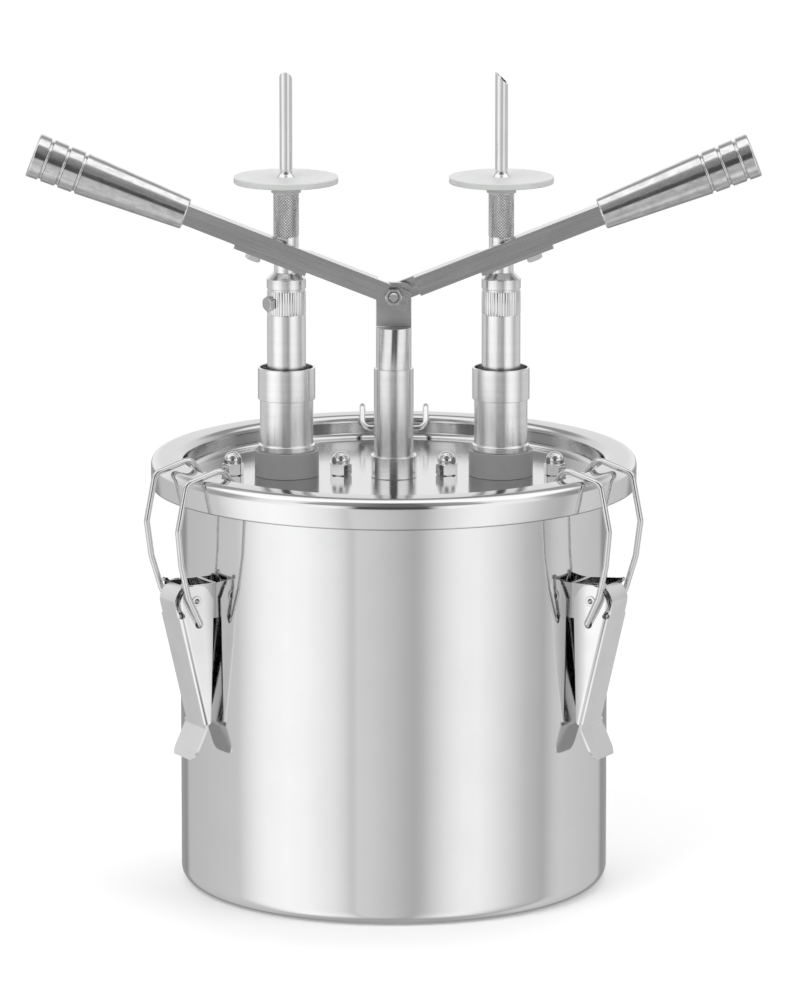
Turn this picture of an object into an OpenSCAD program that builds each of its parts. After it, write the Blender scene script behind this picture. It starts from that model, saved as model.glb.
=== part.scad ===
// Donut filler machine: a round bucket with a clamped lid, two piston pumps with hollow needles,
// and two hand levers that share one post. Millimetres, centre of the base at the origin,
// levers along X, operator's side towards -Y.

/* [Bucket] */
// Outer diameter of the bucket
bucket_d = 220; // [200:1:260]
// Thickness of the bucket's sheet
bucket_wall = 0.8; // [0.6:0.1:1.2]
// Outer radius of the bottom corner
bucket_corner_r = 8; // [5:0.5:14]
// Width of the flange that turns out at the mouth
flange_reach = 10; // [9:0.5:11]
// Inner radius of the bend under the flange
flange_bend_r = 2.5; // [1.5:0.5:3]
// Radius of the rolled edge of the flange
flange_roll_r = 2; // [1.5:0.1:2.3]

/* [Lid] */
// Height of the lid's flat plate above the bucket's base
plate_z = 211; // [190:1:260]
// Thickness of the lid's sheet
lid_t = 1.2; // [0.8:0.1:1.6]
// How far the lid's skirt stands out from the bucket
lid_reach = 14.7; // [13.5:0.1:18]
// Height of the lid's rim above its flat plate
rim_rise = 11.8; // [10:0.1:14]
// Height of the lid's skirt, rim top to lower edge
skirt_h = 15.5; // [13:0.5:20]
// Outer radius of the rim's outer shoulder
shoulder_r = 5; // [4:0.5:6]
// Outer radius of the rim's inner lip
lip_r = 4; // [3:0.5:5]
// Radius at the foot of the recess wall
recess_foot_r = 3; // [2:0.5:4]
// Gap between the lid's recess wall and the bucket's wall
lid_wall_gap = 0.6; // [0.4:0.1:1]
// Thickness of the sealing ring
gasket_t = 3; // [2.5:0.1:3.5]
// Width of the sealing ring
gasket_w = 6; // [4:0.5:7]

/* [Pumps] */
// Distance between the two pumps' axes
pump_pitch = 110; // [104:1:120]
// How far the pumps sit behind the levers' centre plane
pump_back = 4.5; // [4:0.1:5]
// Outer diameter of the pump barrel
barrel_d = 27.3; // [26:0.1:29]
// Wall of the pump barrel
barrel_wall = 2; // [1.5:0.1:2.4]
// Height of the barrel's plain part above the plate
barrel_h = 39.8; // [36:0.1:44]
// Outer diameter of the barrel's open top collar
collar_d = 29.4; // [29:0.1:31]
// Wall of the barrel's open top collar
collar_wall = 1.1; // [0.9:0.1:1.4]
// Height of the barrel's open top collar
collar_h = 16.5; // [14:0.1:18]
// Outer diameter of the barrel's foot collar on the base ring
foot_collar_d = 29; // [28.4:0.1:30]
// Height of the barrel's foot collar above the base ring
foot_collar_h = 3.9; // [3:0.1:5]
// Outer diameter of the grey base ring
base_ring_d = 33; // [31.5:0.1:36]
// Height of the grey base ring
base_ring_h = 12.6; // [10:0.1:15]
// Width of the light lip round the base ring's top
base_ring_lip = 0.7; // [0.5:0.1:1]
// Height of the barrel's foot above the bucket's base
foot_gap = 9; // [6:1:20]
// Wall of the strainer foot under the barrel
foot_wall = 1.6; // [1.2:0.1:2.5]
// Height of the strainer foot
foot_h = 22; // [18:1:30]
// Diameter of the valve balls
ball_d = 12; // [11:0.5:13]

/* [Piston] */
// Outer diameter of the piston tube
rod_d = 19.8; // [19:0.1:20.5]
// Wall of the piston tube
rod_wall = 1.5; // [1.2:0.1:2]
// Height of the piston tube's top above the barrel's collar
rod_out = 27.7; // [27:0.1:32]
// Length of the piston tube inside the barrel
rod_in = 112; // [100:1:120]
// Height of the piston head
head_h = 16; // [14:1:20]
// Gap between the piston head and the barrel's bore
head_gap = 0.25; // [0.2:0.05:0.4]
// Diameter of the cap on the piston tube
cap_d = 20; // [19.9:0.1:20.6]
// Height of the cap's fluted band
flute_h = 12.3; // [10:0.1:14]
// Depth of the cap's flutes
flute_depth = 0.35; // [0.2:0.05:0.5]
// Height of the cap's smooth band
cap_smooth_h = 6; // [5:0.1:8]
// Width of the groove between the cap's bands
cap_groove_w = 1; // [0.6:0.1:1.5]
// Depth of the groove between the cap's bands
cap_groove_depth = 0.5; // [0.3:0.1:0.8]
// Height of the cap's cone
cone_h = 3.4; // [3:0.1:4]
// Diameter of the stem
stem_d = 12.6; // [12:0.1:13]
// Bore of the stem
stem_bore = 8; // [7:0.1:9]
// Height of the stem that shows above the cap
stem_h = 19.3; // [19:0.1:22]
// Diameter of the stem's threaded top
stem_top_d = 10; // [9.4:0.1:11]
// Diameter of the knurled nozzle nut
nut_d = 13.4; // [13:0.1:15]
// Height of the knurled nozzle nut
nut_h = 24; // [20:0.5:28]
// Diameter of the white seat under the disc
seat_d = 15.2; // [14.8:0.1:18]
// Height of the white seat
seat_h = 5; // [4:0.5:7]
// Diameter of the splash disc
disc_d = 53.5; // [40:0.5:60]
// Thickness of the splash disc
disc_t = 2.4; // [1.5:0.1:3]
// Outer diameter of the needle
needle_d = 6.4; // [5:0.1:7]
// Wall of the needle
needle_wall = 0.7; // [0.5:0.1:0.9]
// Height of the needle above the disc
needle_h = 55; // [45:1:70]
// Angle of the slanted cut at the needle's tip
needle_cut = 45; // [30:1:50]
// Diameter of the needle's flange on the disc
needle_flange_d = 10; // [9:0.1:11]
// Height of the needle's flange
needle_flange_h = 1.8; // [1.5:0.1:2.5]
// Diameter of the return spring's wire
spring_wire = 1.6; // [1.2:0.1:2]
// Mean diameter of the return spring
spring_d = 18.8; // [18:0.1:20]
// Free turns of the return spring
spring_turns = 9; // [7:1:11]

/* [Post] */
// Diameter of the post's foot ring
post_ring_d = 23.7; // [22:0.1:26]
// Height of the post's foot ring
post_ring_h = 11.4; // [9:0.1:14]
// Diameter of the post's lower part
post_d = 20.3; // [19:0.1:21.5]
// Height of the post's lower part above the plate
post_low_h = 56.5; // [50:0.5:62]
// Diameter of the post's upper part
post_top_d = 18.1; // [17:0.1:18.8]
// Height of the start of the post's tongue above the plate
tongue_start = 77.8; // [75:0.1:80]
// Thickness of the post's tongue
tongue_t = 3.4; // [3:0.1:3.6]
// Height of the tongue above the pivot
tongue_over = 6.5; // [6:0.1:7]
// Radius of the tongue's top corners
tongue_corner_r = 4; // [3:0.5:5]
// Diameter of the pivot bolt
pivot_d = 5; // [4:0.5:6]
// Width across the flats of the pivot bolt's head and nut
pivot_af = 8; // [7:0.5:10]
// Height of the pivot bolt's head and nut
pivot_head_h = 3.6; // [3:0.1:5]

/* [Levers] */
// Width and height of the square lever bar
bar_w = 10; // [9.5:0.1:10.5]
// Angle of the levers above level at rest
lever_rise = 21.5; // [20:0.5:22]
// Distance from the pivot to the front bar's full section
lap_left = 10.5; // [10.4:0.1:12]
// Distance from the pivot to the rear bar's full section
lap_right = 13; // [11:0.1:15]
// Length of each lap tongue beyond the pivot
lap_over = 7.5; // [6:0.1:8]
// Distance from the pivot to the grip
grip_start = 114; // [105:1:130]
// Length of the grip
grip_len = 83.5; // [75:0.5:95]
// Diameter of the grip's outer end
grip_d = 23; // [21:0.1:25]
// Diameter of the grip's inner end
grip_neck_d = 16.5; // [15.5:0.1:18]
// Pitch of the grip's rings
grip_ring_pitch = 9.2; // [8:0.1:10]
// Depth of the grip's grooves
grip_groove_depth = 1.1; // [0.8:0.1:1.5]
// Diameter of the bar's tang inside the grip
tang_d = 8; // [7:0.1:9]
// Length of the bar's tang inside the grip
tang_len = 24; // [18:1:30]
// Front wall left by the notch in the lever bar
notch_wall = 2.6; // [2.2:0.1:2.8]
// Thickness of the push plate under the bar
plate_t = 2; // [1.5:0.1:2.2]
// Distance from the pump's axis in to the push plate's inner end
plate_start = 9; // [8:0.5:11]
// Length of the push plate along the bar
plate_len = 39; // [37:0.5:44]
// Distance from the pump's axis out to the push plate's bolt
plate_bolt_at = 19; // [18:0.1:21]
// Downward travel of each lever
lever_travel = 26.5; // [20:0.5:27]
// Diameter of the push plate's bolt and the cap screws
small_bolt_d = 4; // [3.5:0.1:4.5]
// Width across the flats of the small hex heads
small_af = 7; // [6:0.1:7.5]
// Height of the small hex heads
small_head_h = 2.8; // [2.4:0.1:3.2]

/* [Latches] */
// Bearing of the rear latch
latch_rear_at = 90; // [80:1:100]
// Bearing between one latch and the next
latch_step = 120; // [110:1:125]
// Depth of the latch pivot under the lid's plate
latch_drop = 51; // [48:0.5:55]
// Distance of the latch pivot from the bucket's wall
latch_out = 11.5; // [11.2:0.1:12.5]
// Drop from the latch pivot to the bail's pivot
bail_drop = 12; // [11.5:0.1:12.5]
// How far the bail's pivot lies inside the latch pivot
bail_in = 1.3; // [0.8:0.1:2]
// Width of the latch lever
latch_w = 22.4; // [20:0.1:24]
// Thickness of the latch lever's sheet
latch_t = 1.2; // [1:0.1:1.4]
// Distance from the latch pivot to the lever's outer face
latch_face = 11; // [10.8:0.1:11.4]
// Lean of the latch lever's face
latch_lean = 13.7; // [12:0.1:14.5]
// Length of the latch lever below its pivot, to its bend
latch_len = 65.5; // [60:0.1:80]
// Height of the latch lever above its pivot
latch_top = 9.3; // [6.5:0.1:10]
// Length of the latch lever's turned-out tip
tip_len = 17; // [10:0.5:18]
// Angle through which the tip turns out
tip_turn = 40; // [25:1:45]
// Diameter of the latch pivot pin
latch_pin_d = 4; // [3:0.1:4.5]
// Diameter of the bail's wire
bail_wire = 3; // [2.5:0.1:3.2]
// Diameter of the bail's ends in the lever
bail_pin_d = 2.6; // [2:0.1:2.7]
// Distance between the bail's legs at the rim
bail_w = 33.4; // [31:0.1:38]
// Slope of the bail's legs over the rim
bail_slope = 16; // [12:0.5:18]

/* [Fits] */
// Radial clearance of a running fit
run_fit = 0.05; // [0.03:0.01:0.1]
// Clearance between faces that pass each other
side_fit = 0.2; // [0.15:0.05:0.3]
// Radial clearance of a hole round a fixed piece
hole_fit = 0.15; // [0.05:0.05:0.3]
// Gap left between a lever and what it rests on
rest_gap = 0.3; // [0.2:0.05:0.5]
// Height of the push plate over the cap's cone at rest
cap_gap = 0.46; // [0.4:0.02:0.8]

/* [Hidden] */

round_fn = 64;
overrun = 1;
hex_face_share = 0.95;
left = -1;
right = 1;

// Bucket and lid
bucket_r = bucket_d / 2;
lid_r = bucket_r + lid_reach;
rim_z = plate_z + rim_rise;
recess_r = bucket_r - bucket_wall - lid_wall_gap - lid_t;
flange_z = rim_z - lid_t - gasket_t;
neck_z = flange_z - bucket_wall - flange_bend_r;
flange_r = bucket_r + flange_reach;
gasket_r = (recess_r + lip_r + lid_r - shoulder_r) / 2;

// Pumps, with heights above the lid's plate
pump_x = pump_pitch / 2;
barrel_r = barrel_d / 2;
bore_r = barrel_r - barrel_wall;
barrel_top = barrel_h + collar_h;
barrel_bottom = foot_gap + foot_h - plate_z;
flange_t = 2.5;
stud_d = 6;
stud_reach = 27.8;
stud_up = 8;
flange_body_r = 19;
flange_ear_r = 7.5;
acorn_af = 10;
acorn_hex_h = 6;
acorn_h = 12;
acorn_dome_r = 4.75;
acorn_bore_h = 9;
collar_floor = 1.2;
bush_z = barrel_h + collar_floor;
bush_h = 14;
bush_flange_t = 2;
spigot_h = 12;
seat_t = 4;
seat_r = 4;
ball_room = 1.5;
spigot_bore_r = ball_d / 2 + ball_room;
strainer_slots = 6;
curl_rings = 8;
curl_sides = 6;
slot_w = 5;
lip_rise = 0.6;

// Pistons, with heights above the lid's plate
rod_r = rod_d / 2;
rod_top = barrel_top + rod_out;
rod_bottom = barrel_h - rod_in;
head_spigot_h = 8;
head_bottom = rod_bottom - head_h;
seal_wire_r = 1.3;
seal_z = head_bottom + head_h / 2;
cap_r = cap_d / 2;
cap_spigot_h = 10;
cone_z = rod_top + flute_h + cap_smooth_h;
cone_top = cone_z + cone_h;
stem_r = stem_d / 2;
stem_seat_up = 2;
stem_seat = rod_top + stem_seat_up;
nut_z = cone_top + stem_h;
seat_z = nut_z + nut_h;
disc_z = seat_z + seat_h;
disc_top = disc_z + disc_t;
stem_thread_h = 14;
stem_top = nut_z + stem_thread_h;
needle_r = needle_d / 2;
needle_foot_gap = 1.5;
needle_foot = stem_top + needle_foot_gap;
flute_count = 48;
screw_grip = 3;
screw_bearing_left = 218;
screw_bearing_right = 60;
needle_bearing_left = 80;
needle_bearing_right = -8;

// Post and levers
post_screw_d = 8;
post_screw_af = 13;
post_screw_h = 5.5;
post_screw_in = 16;
post_washer_r = 10;
post_washer_t = 1.6;
half_bar = bar_w / 2;
plate_drop = half_bar + plate_t;
pivot_h = cone_top + cap_gap + plate_drop / cos(lever_rise) - (pump_x - stem_r) * tan(lever_rise);
pivot_pos = [0, 0, plate_z + pivot_h];
tongue_top = pivot_h + tongue_over;
lap_face = tongue_t / 2 + side_fit;
pivot_end = 1.2;
notch_r = pump_back + half_bar - notch_wall;
low_angle = lever_travel - lever_rise;
notch_in = (pump_x - half_bar * sin(low_angle) - stem_r) / cos(low_angle) - rest_gap + notch_r;
notch_out = (pump_x + half_bar * sin(lever_rise) + stem_r) / cos(lever_rise) + rest_gap - notch_r;
slot_gap = 0.5;
slot_r = stem_r + slot_gap;
slot_in = sqrt(pow(pump_x - stem_r, 2) - pow(plate_drop, 2)) - rest_gap + slot_r;
slot_out = (pump_x - half_bar * sin(lever_rise) + stem_r) / cos(lever_rise) + rest_gap - slot_r;
plate_in = pump_x - plate_start;
bolt_x = pump_x + plate_bolt_at;
plate_back = 2 * pump_back + half_bar;
plate_corner_r = 3;
bolt_in = 8;
grip_end_ring = 7.2;
grip_rings = 3;
grip_groove_w = 2;
grip_edge_r = 1;

// Latches
pivot_r = bucket_r + latch_out;
pivot_z = plate_z - latch_drop;
bail_r = pivot_r - bail_in;
bail_z = pivot_z - bail_drop;
wall_r = bail_wire / 2;
half_w = latch_w / 2;
wall_in = half_w - latch_t;
channel_corner_r = 2.6;
curl_r = 15;
curl_turn = asin(latch_top / curl_r);
curl_x = latch_face - curl_r;
wall_top_r = 8.3;
wall_back = 9.4;
wall_foot_share = 0.25;
wall_end_depth = 2.4;
track_r = 10.9;
track_half_w = 1.45;
track_in = 8;
track_low = -41;
track_high = 52;
lug_angle = 51;
lug_r = 1.1;
ear_r = 9.2;
ear_t = 1.2;
ear_out = wall_in - 2 * side_fit;
bracket_low = 10;
bracket_high = 8;
bracket_gap = 0.05;
tip_bend_r = 3;
tip_corner_r = 5;
leg_in = half_w + side_fit + wall_r;
bail_bend_r = 5;
bail_foot_r = 1.4;
bail_sides = 10;
bail_corner_r = 9;
hook_in = 6.9;
hook_r = recess_r - hook_in;
hook_up = 6.3;
hook_z = plate_z + hook_up;
shoulder_c = [lid_r - shoulder_r, rim_z - shoulder_r];
slope_off = shoulder_r + wall_r + rest_gap;
slope_p = shoulder_c + slope_off * [sin(bail_slope), cos(bail_slope)];
bail_out = 5.3;
bail_out_r = lid_r + bail_out;
half_bail = bail_w / 2;
bail_over_r = sqrt(pow(recess_r + lip_r, 2) - pow(half_bail, 2));
leg_low_out = 7.8;
leg_low_up = 15;
leg_mid_out = 12.6;
leg_mid_up = 32;
leg_top_out = 10.3;
leg_top_up = 50;
leg_spread_shares = [0.4, 0.8];

function arc(c, r, from, to, n = 8) =
  [for (i = [0:n]) let (a = from + (to - from) * i / n) c + r * [cos(a), sin(a)]];
function slope_z(r) = slope_p[1] - (r - slope_p[0]) * tan(bail_slope);
function unit(v) = v / norm(v);

// A tube between two heights
module pipe(r_out, r_in, z0, z1) {
  difference() {
    translate([0, 0, z0]) cylinder(h = z1 - z0, r = r_out, $fn = round_fn);
    translate([0, 0, z0 - overrun]) cylinder(h = z1 - z0 + 2 * overrun, r = r_in, $fn = round_fn);
  }
}

module rod(r, z0, z1) {
  translate([0, 0, z0]) cylinder(h = z1 - z0, r = r, $fn = round_fn);
}

// A hexagonal head or nut with its corners turned off at the top
module hex(af, h) {
  corner_r = af / 2 / cos(30);
  face_r = af / 2 * hex_face_share;
  intersection() {
    cylinder(h = h, r = corner_r, $fn = 6);
    rotate_extrude($fn = round_fn) polygon([
      [0, 0], [corner_r, 0], [corner_r, h - (corner_r - face_r) * tan(30)], [face_r, h], [0, h]
    ]);
  }
}

module at_pump(side) {
  translate([side * pump_x, pump_back, plate_z]) children();
}

module at_lever(side) {
  translate(pivot_pos) mirror([side == left ? 1 : 0, 0, 0]) rotate([0, -lever_rise, 0]) children();
}

module at_latch(turn) {
  rotate([0, 0, latch_rear_at + turn * latch_step]) children();
}

module bucket() {
  color("#c9cacc") rotate_extrude($fn = 180) {
    polygon(concat(
      [[0, 0]],
      arc([bucket_r - bucket_corner_r, bucket_corner_r], bucket_corner_r, -90, 0),
      arc([bucket_r + flange_bend_r, neck_z], flange_bend_r, 180, 90),
      [[flange_r, flange_z - bucket_wall], [flange_r, flange_z]],
      arc([bucket_r + flange_bend_r, neck_z], flange_bend_r + bucket_wall, 90, 180),
      arc([bucket_r - bucket_corner_r, bucket_corner_r], bucket_corner_r - bucket_wall, 0, -90),
      [[0, bucket_wall]]
    ));
    translate([flange_r, flange_z - flange_roll_r]) circle(r = flange_roll_r, $fn = 24);
  }
}

module lid_shell() {
  rotate_extrude($fn = 180) polygon(concat(
    [[0, plate_z]],
    arc([recess_r - recess_foot_r, plate_z + recess_foot_r], recess_foot_r, -90, 0),
    arc([recess_r + lip_r, rim_z - lip_r], lip_r, 180, 90),
    arc([lid_r - shoulder_r, rim_z - shoulder_r], shoulder_r, 90, 0),
    [[lid_r, rim_z - skirt_h], [lid_r - lid_t, rim_z - skirt_h]],
    arc([lid_r - shoulder_r, rim_z - shoulder_r], shoulder_r - lid_t, 0, 90),
    arc([recess_r + lip_r, rim_z - lip_r], lip_r - lid_t, 90, 180),
    arc([recess_r - recess_foot_r, plate_z + recess_foot_r], recess_foot_r + lid_t, 0, -90),
    [[0, plate_z - lid_t]]
  ));
}

module lid() {
  color("#cfd0d2") difference() {
    lid_shell();
    for (side = [left, right]) at_pump(side) {
      rod(barrel_r + hole_fit, -lid_t - overrun, overrun);
      for (end = [left, right])
        translate([end * stud_reach, 0, 0]) rod(stud_d / 2 + hole_fit, -lid_t - overrun, overrun);
    }
    translate([0, 0, plate_z]) rod(post_screw_d / 2 + hole_fit, -lid_t - overrun, overrun);
  }
}

module lid_gasket() {
  color("#e9e9e4") pipe(gasket_r + gasket_w / 2, gasket_r - gasket_w / 2, flange_z, rim_z - lid_t);
}

module pump_base_ring(side) {
  color("#8f9092") at_pump(side) {
    pipe(base_ring_d / 2, barrel_r + hole_fit, 0, base_ring_h);
    pipe(base_ring_d / 2, base_ring_d / 2 - base_ring_lip, 0, base_ring_h + lip_rise);
  }
}

module barrel(side) {
  color("#bfc0c2") at_pump(side) difference() {
    union() {
      rod(barrel_r, barrel_bottom, barrel_h);
      rod(foot_collar_d / 2, base_ring_h, base_ring_h + foot_collar_h);
      rod(collar_d / 2, barrel_h, barrel_top);
    }
    rod(bore_r, barrel_bottom - overrun, barrel_top);
    rod(collar_d / 2 - collar_wall, bush_z, barrel_top + overrun);
  }
}

module guide_bushes() {
  color("#f0f0ea") for (side = [left, right]) at_pump(side) difference() {
    union() {
      rod(bore_r - hole_fit, bush_z - bush_h, bush_z);
      rod(collar_d / 2 - collar_wall - hole_fit, bush_z, bush_z + bush_flange_t);
    }
    rod(rod_r + run_fit, bush_z - bush_h - overrun, bush_z + bush_flange_t + overrun);
  }
}

// The oval flange that carries the two studs of a pump
module pump_flange(side) {
  lean = acos((flange_body_r - flange_ear_r) / stud_reach);
  waist = flange_body_r * [cos(lean), sin(lean)];
  ear = [stud_reach, 0] + flange_ear_r * [cos(lean), sin(lean)];
  color("#b4b5b8") at_pump(side) difference() {
    union() {
      rod(flange_body_r, -lid_t - flange_t, -lid_t);
      for (end = [left, right]) translate([end * stud_reach, 0, 0]) {
        rod(flange_ear_r, -lid_t - flange_t, -lid_t);
        rod(stud_d / 2, -lid_t - flange_t, stud_up);
      }
      translate([0, 0, -lid_t - flange_t]) linear_extrude(flange_t) polygon([
        ear, waist, [-waist[0], waist[1]], [-ear[0], ear[1]],
        -ear, -waist, [waist[0], -waist[1]], [ear[0], -ear[1]]
      ]);
    }
    rod(barrel_r + hole_fit, -lid_t - flange_t - overrun, overrun);
  }
}

module acorn_nuts() {
  color("#c4c5c8") for (side = [left, right], end = [left, right])
    at_pump(side) translate([end * stud_reach, 0, 0]) difference() {
      union() {
        hex(acorn_af, acorn_hex_h);
        rotate_extrude($fn = round_fn) polygon(concat(
          [[0, acorn_hex_h / 2], [acorn_dome_r, acorn_hex_h / 2]],
          arc([0, acorn_h - acorn_dome_r], acorn_dome_r, 0, 90)
        ));
      }
      rod(stud_d / 2 + run_fit, -overrun, acorn_bore_h);
    }
}

// The inlet foot: slotted skirt, valve seat and the spigot that fits the barrel's bore
module strainer_foot(side) {
  top = foot_gap + foot_h - plate_z;
  color("#b9babd") at_pump(side) difference() {
    union() {
      rod(barrel_r, foot_gap - plate_z, top);
      rod(bore_r - hole_fit, top, top + spigot_h);
    }
    rod(barrel_r - foot_wall, foot_gap - plate_z - overrun, top - seat_t);
    rod(seat_r, foot_gap - plate_z, top + overrun);
    rod(spigot_bore_r, top, top + spigot_h + overrun);
    for (i = [0:strainer_slots - 1]) rotate([0, 0, i * 360 / strainer_slots])
      translate([0, -slot_w / 2, foot_gap - plate_z - overrun])
        cube([bucket_r, slot_w, foot_h - seat_t - slot_w]);
  }
}

module ball_on_seat(z) {
  translate([0, 0, z + sqrt(pow(ball_d / 2, 2) - pow(seat_r, 2)) + rest_gap / 2])
    sphere(d = ball_d, $fn = round_fn);
}

module inlet_balls() {
  color("#dcdde0") for (side = [left, right])
    at_pump(side) ball_on_seat(foot_gap + foot_h - plate_z);
}

// Rings of the return spring's wire, from its lower end to its upper end
spring_low = foot_gap + foot_h + spigot_h - plate_z + spring_wire / 2 + side_fit;
spring_high = head_bottom - spring_wire / 2 - side_fit;
spring_pitch = (spring_high - spring_low) / spring_turns;
spring_rings = [for (i = [0:spring_turns * curl_rings]) let (a = i * 360 / curl_rings)
  [for (k = [0:curl_sides - 1])
    let (b = k * 360 / curl_sides, r = spring_d / 2 + spring_wire / 2 * cos(b))
    [r * cos(a), r * sin(a), spring_low + spring_pitch * i / curl_rings + spring_wire / 2 * sin(b)]]];
spring_gap = min([for (p = spring_rings[curl_rings], q = spring_rings[0]) norm(p - q)]);
echo(least_gap_in_spring = spring_gap);

module return_spring(side) {
  color("#b0b2b5") at_pump(side) tube(spring_rings);
}

// The post: two diameters and a flat tongue for the levers
module lever_post() {
  color("#b8b9bb") translate([0, 0, plate_z]) difference() {
    union() {
      rod(post_d / 2, 0, post_low_h);
      rod(post_top_d / 2, post_low_h, tongue_start);
      intersection() {
        rod(post_top_d / 2, tongue_start, tongue_top);
        rotate([90, 0, 0]) linear_extrude(tongue_t, center = true) polygon(concat(
          [[-post_top_d / 2, tongue_start], [post_top_d / 2, tongue_start]],
          arc([post_top_d / 2 - tongue_corner_r, tongue_top - tongue_corner_r], tongue_corner_r, 0, 90),
          arc([tongue_corner_r - post_top_d / 2, tongue_top - tongue_corner_r], tongue_corner_r, 90, 180)
        ));
      }
    }
    translate([0, 0, pivot_h]) rotate([90, 0, 0])
      cylinder(h = post_d, r = pivot_d / 2 + run_fit, center = true, $fn = round_fn);
    rod(post_screw_d / 2 + run_fit, -overrun, post_screw_in + overrun);
  }
}

module post_foot_ring() {
  color("#bcbdbf") translate([0, 0, plate_z])
    pipe(post_ring_d / 2, post_d / 2 + run_fit, 0, post_ring_h);
}

module post_screw() {
  under = -lid_t - post_washer_t;
  color("#a9abae") translate([0, 0, plate_z]) {
    rod(post_screw_d / 2, under, post_screw_in);
    translate([0, 0, under]) mirror([0, 0, 1]) hex(post_screw_af, post_screw_h);
  }
}

module post_washer() {
  color("#a9abae") translate([0, 0, plate_z])
    pipe(post_washer_r, post_screw_d / 2 + hole_fit, -lid_t - post_washer_t, -lid_t);
}

module pivot_bolt() {
  reach = half_bar + side_fit;
  color("#a9abae") translate(pivot_pos) rotate([90, 0, 0]) {
    rod(pivot_d / 2, -reach, reach + pivot_head_h + pivot_end);
    translate([0, 0, -reach]) mirror([0, 0, 1]) hex(pivot_af, pivot_head_h);
  }
}

module pivot_nut() {
  color("#c4c5c8") translate(pivot_pos - [0, half_bar + side_fit, 0]) rotate([90, 0, 0]) difference() {
    hex(pivot_af, pivot_head_h);
    rod(pivot_d / 2 + run_fit, -overrun, pivot_head_h + overrun);
  }
}

// A square bar, halved at the pivot and notched behind for the stem
module lever_bar(side) {
  lap = side == left ? lap_left : lap_right;
  lap_y = side == left ? -half_bar : lap_face;
  color("#9fa0a2") at_lever(side) difference() {
    union() {
      translate([lap, -half_bar, -half_bar]) cube([grip_start - lap, bar_w, bar_w]);
      translate([-lap_over, lap_y, -half_bar]) cube([lap_over + lap, half_bar - lap_face, bar_w]);
      rotate([0, 90, 0]) rod(tang_d / 2, grip_start, grip_start + tang_len);
    }
    rotate([90, 0, 0])
      cylinder(h = 2 * bar_w, r = pivot_d / 2 + run_fit, center = true, $fn = round_fn);
    for (x = [notch_in, notch_out])
      translate([x, pump_back, 0]) rod(notch_r, -half_bar - overrun, half_bar + overrun);
    translate([notch_in, pump_back - notch_r, -half_bar - overrun])
      cube([notch_out - notch_in, 2 * notch_r, bar_w + 2 * overrun]);
    translate([bolt_x, 0, 0])
      rod(small_bolt_d / 2 + run_fit, -half_bar - overrun, bolt_in - half_bar);
  }
}

// Radius of the grip at a distance from its outer end
function grip_r(d) =
  let (rings = grip_end_ring + (grip_rings - 1) * grip_ring_pitch,
    crown_r = grip_d / 2 - grip_groove_depth / 2)
  d <= rings ? grip_d / 2 - d / rings * grip_groove_depth / 2
    : grip_neck_d / 2 + (crown_r - grip_neck_d / 2) * (grip_len - d) / (grip_len - rings);

// Turned steel grip with rings at its outer end
module lever_grip(side) {
  end = grip_start + grip_len;
  color("#b5b6b8") at_lever(side) rotate([0, 90, 0]) difference() {
    rotate_extrude($fn = round_fn) polygon(concat(
      [[0, grip_start], [grip_neck_d / 2 - grip_edge_r / 2, grip_start],
        [grip_neck_d / 2, grip_start + grip_edge_r / 2]],
      [for (i = [grip_rings - 1:-1:0])
        let (d = grip_end_ring + i * grip_ring_pitch)
        each [for (a = [0:45:180]) let (w = d + grip_groove_w / 2 * cos(a))
          [grip_r(w) - grip_groove_depth * sin(a), end - w]]],
      arc([grip_d / 2 - grip_edge_r, end - grip_edge_r], grip_edge_r, 0, 90, 4),
      [[0, end]]
    ));
    rod(tang_d / 2 + run_fit, grip_start - overrun, grip_start + tang_len + overrun);
  }
}

// Slotted plate that pushes the piston's cap down
module push_plate(side) {
  end = plate_in + plate_len;
  color("#b9babc") at_lever(side) translate([0, 0, -plate_drop]) difference() {
    linear_extrude(plate_t) polygon(concat(
      [[plate_in, -half_bar], [end, -half_bar]],
      arc([end - plate_corner_r, plate_back - plate_corner_r], plate_corner_r, 0, 90),
      arc([plate_in + plate_corner_r, plate_back - plate_corner_r], plate_corner_r, 90, 180)
    ));
    for (x = [slot_in, slot_out])
      translate([x, pump_back, 0]) rod(slot_r, -overrun, plate_t + overrun);
    translate([slot_in, pump_back - slot_r, -overrun])
      cube([slot_out - slot_in, 2 * slot_r, plate_t + 2 * overrun]);
    translate([bolt_x, 0, 0]) rod(small_bolt_d / 2 + hole_fit, -overrun, plate_t + overrun);
  }
}

module plate_bolt(side) {
  color("#c4c5c8") at_lever(side) translate([bolt_x, 0, -plate_drop]) {
    rod(small_bolt_d / 2, 0, plate_t + bolt_in - overrun);
    mirror([0, 0, 1]) hex(small_af, small_head_h);
  }
}

module piston_tube(side) {
  color("#c2c3c5") at_pump(side) pipe(rod_r, rod_r - rod_wall, rod_bottom, rod_top);
}

// Piston head with its valve seat and the groove for the seal
module piston_head(side) {
  color("#d8d8d4") at_pump(side) difference() {
    union() {
      rod(bore_r - head_gap, head_bottom, rod_bottom);
      rod(rod_r - rod_wall - hole_fit, rod_bottom, rod_bottom + head_spigot_h);
    }
    rod(seat_r, head_bottom - overrun, rod_bottom + head_spigot_h + overrun);
    pipe(barrel_r, bore_r - 2 * seal_wire_r - run_fit - hole_fit,
      seal_z - seal_wire_r - hole_fit, seal_z + seal_wire_r + hole_fit);
  }
}

module piston_seal(side) {
  color("#3c3c3e") at_pump(side) translate([0, 0, seal_z]) rotate_extrude($fn = round_fn)
    translate([bore_r - seal_wire_r - run_fit, 0]) circle(r = seal_wire_r, $fn = 24);
}

module outlet_ball(side) {
  color("#dcdde0") at_pump(side) ball_on_seat(rod_bottom + head_spigot_h);
}

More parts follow.
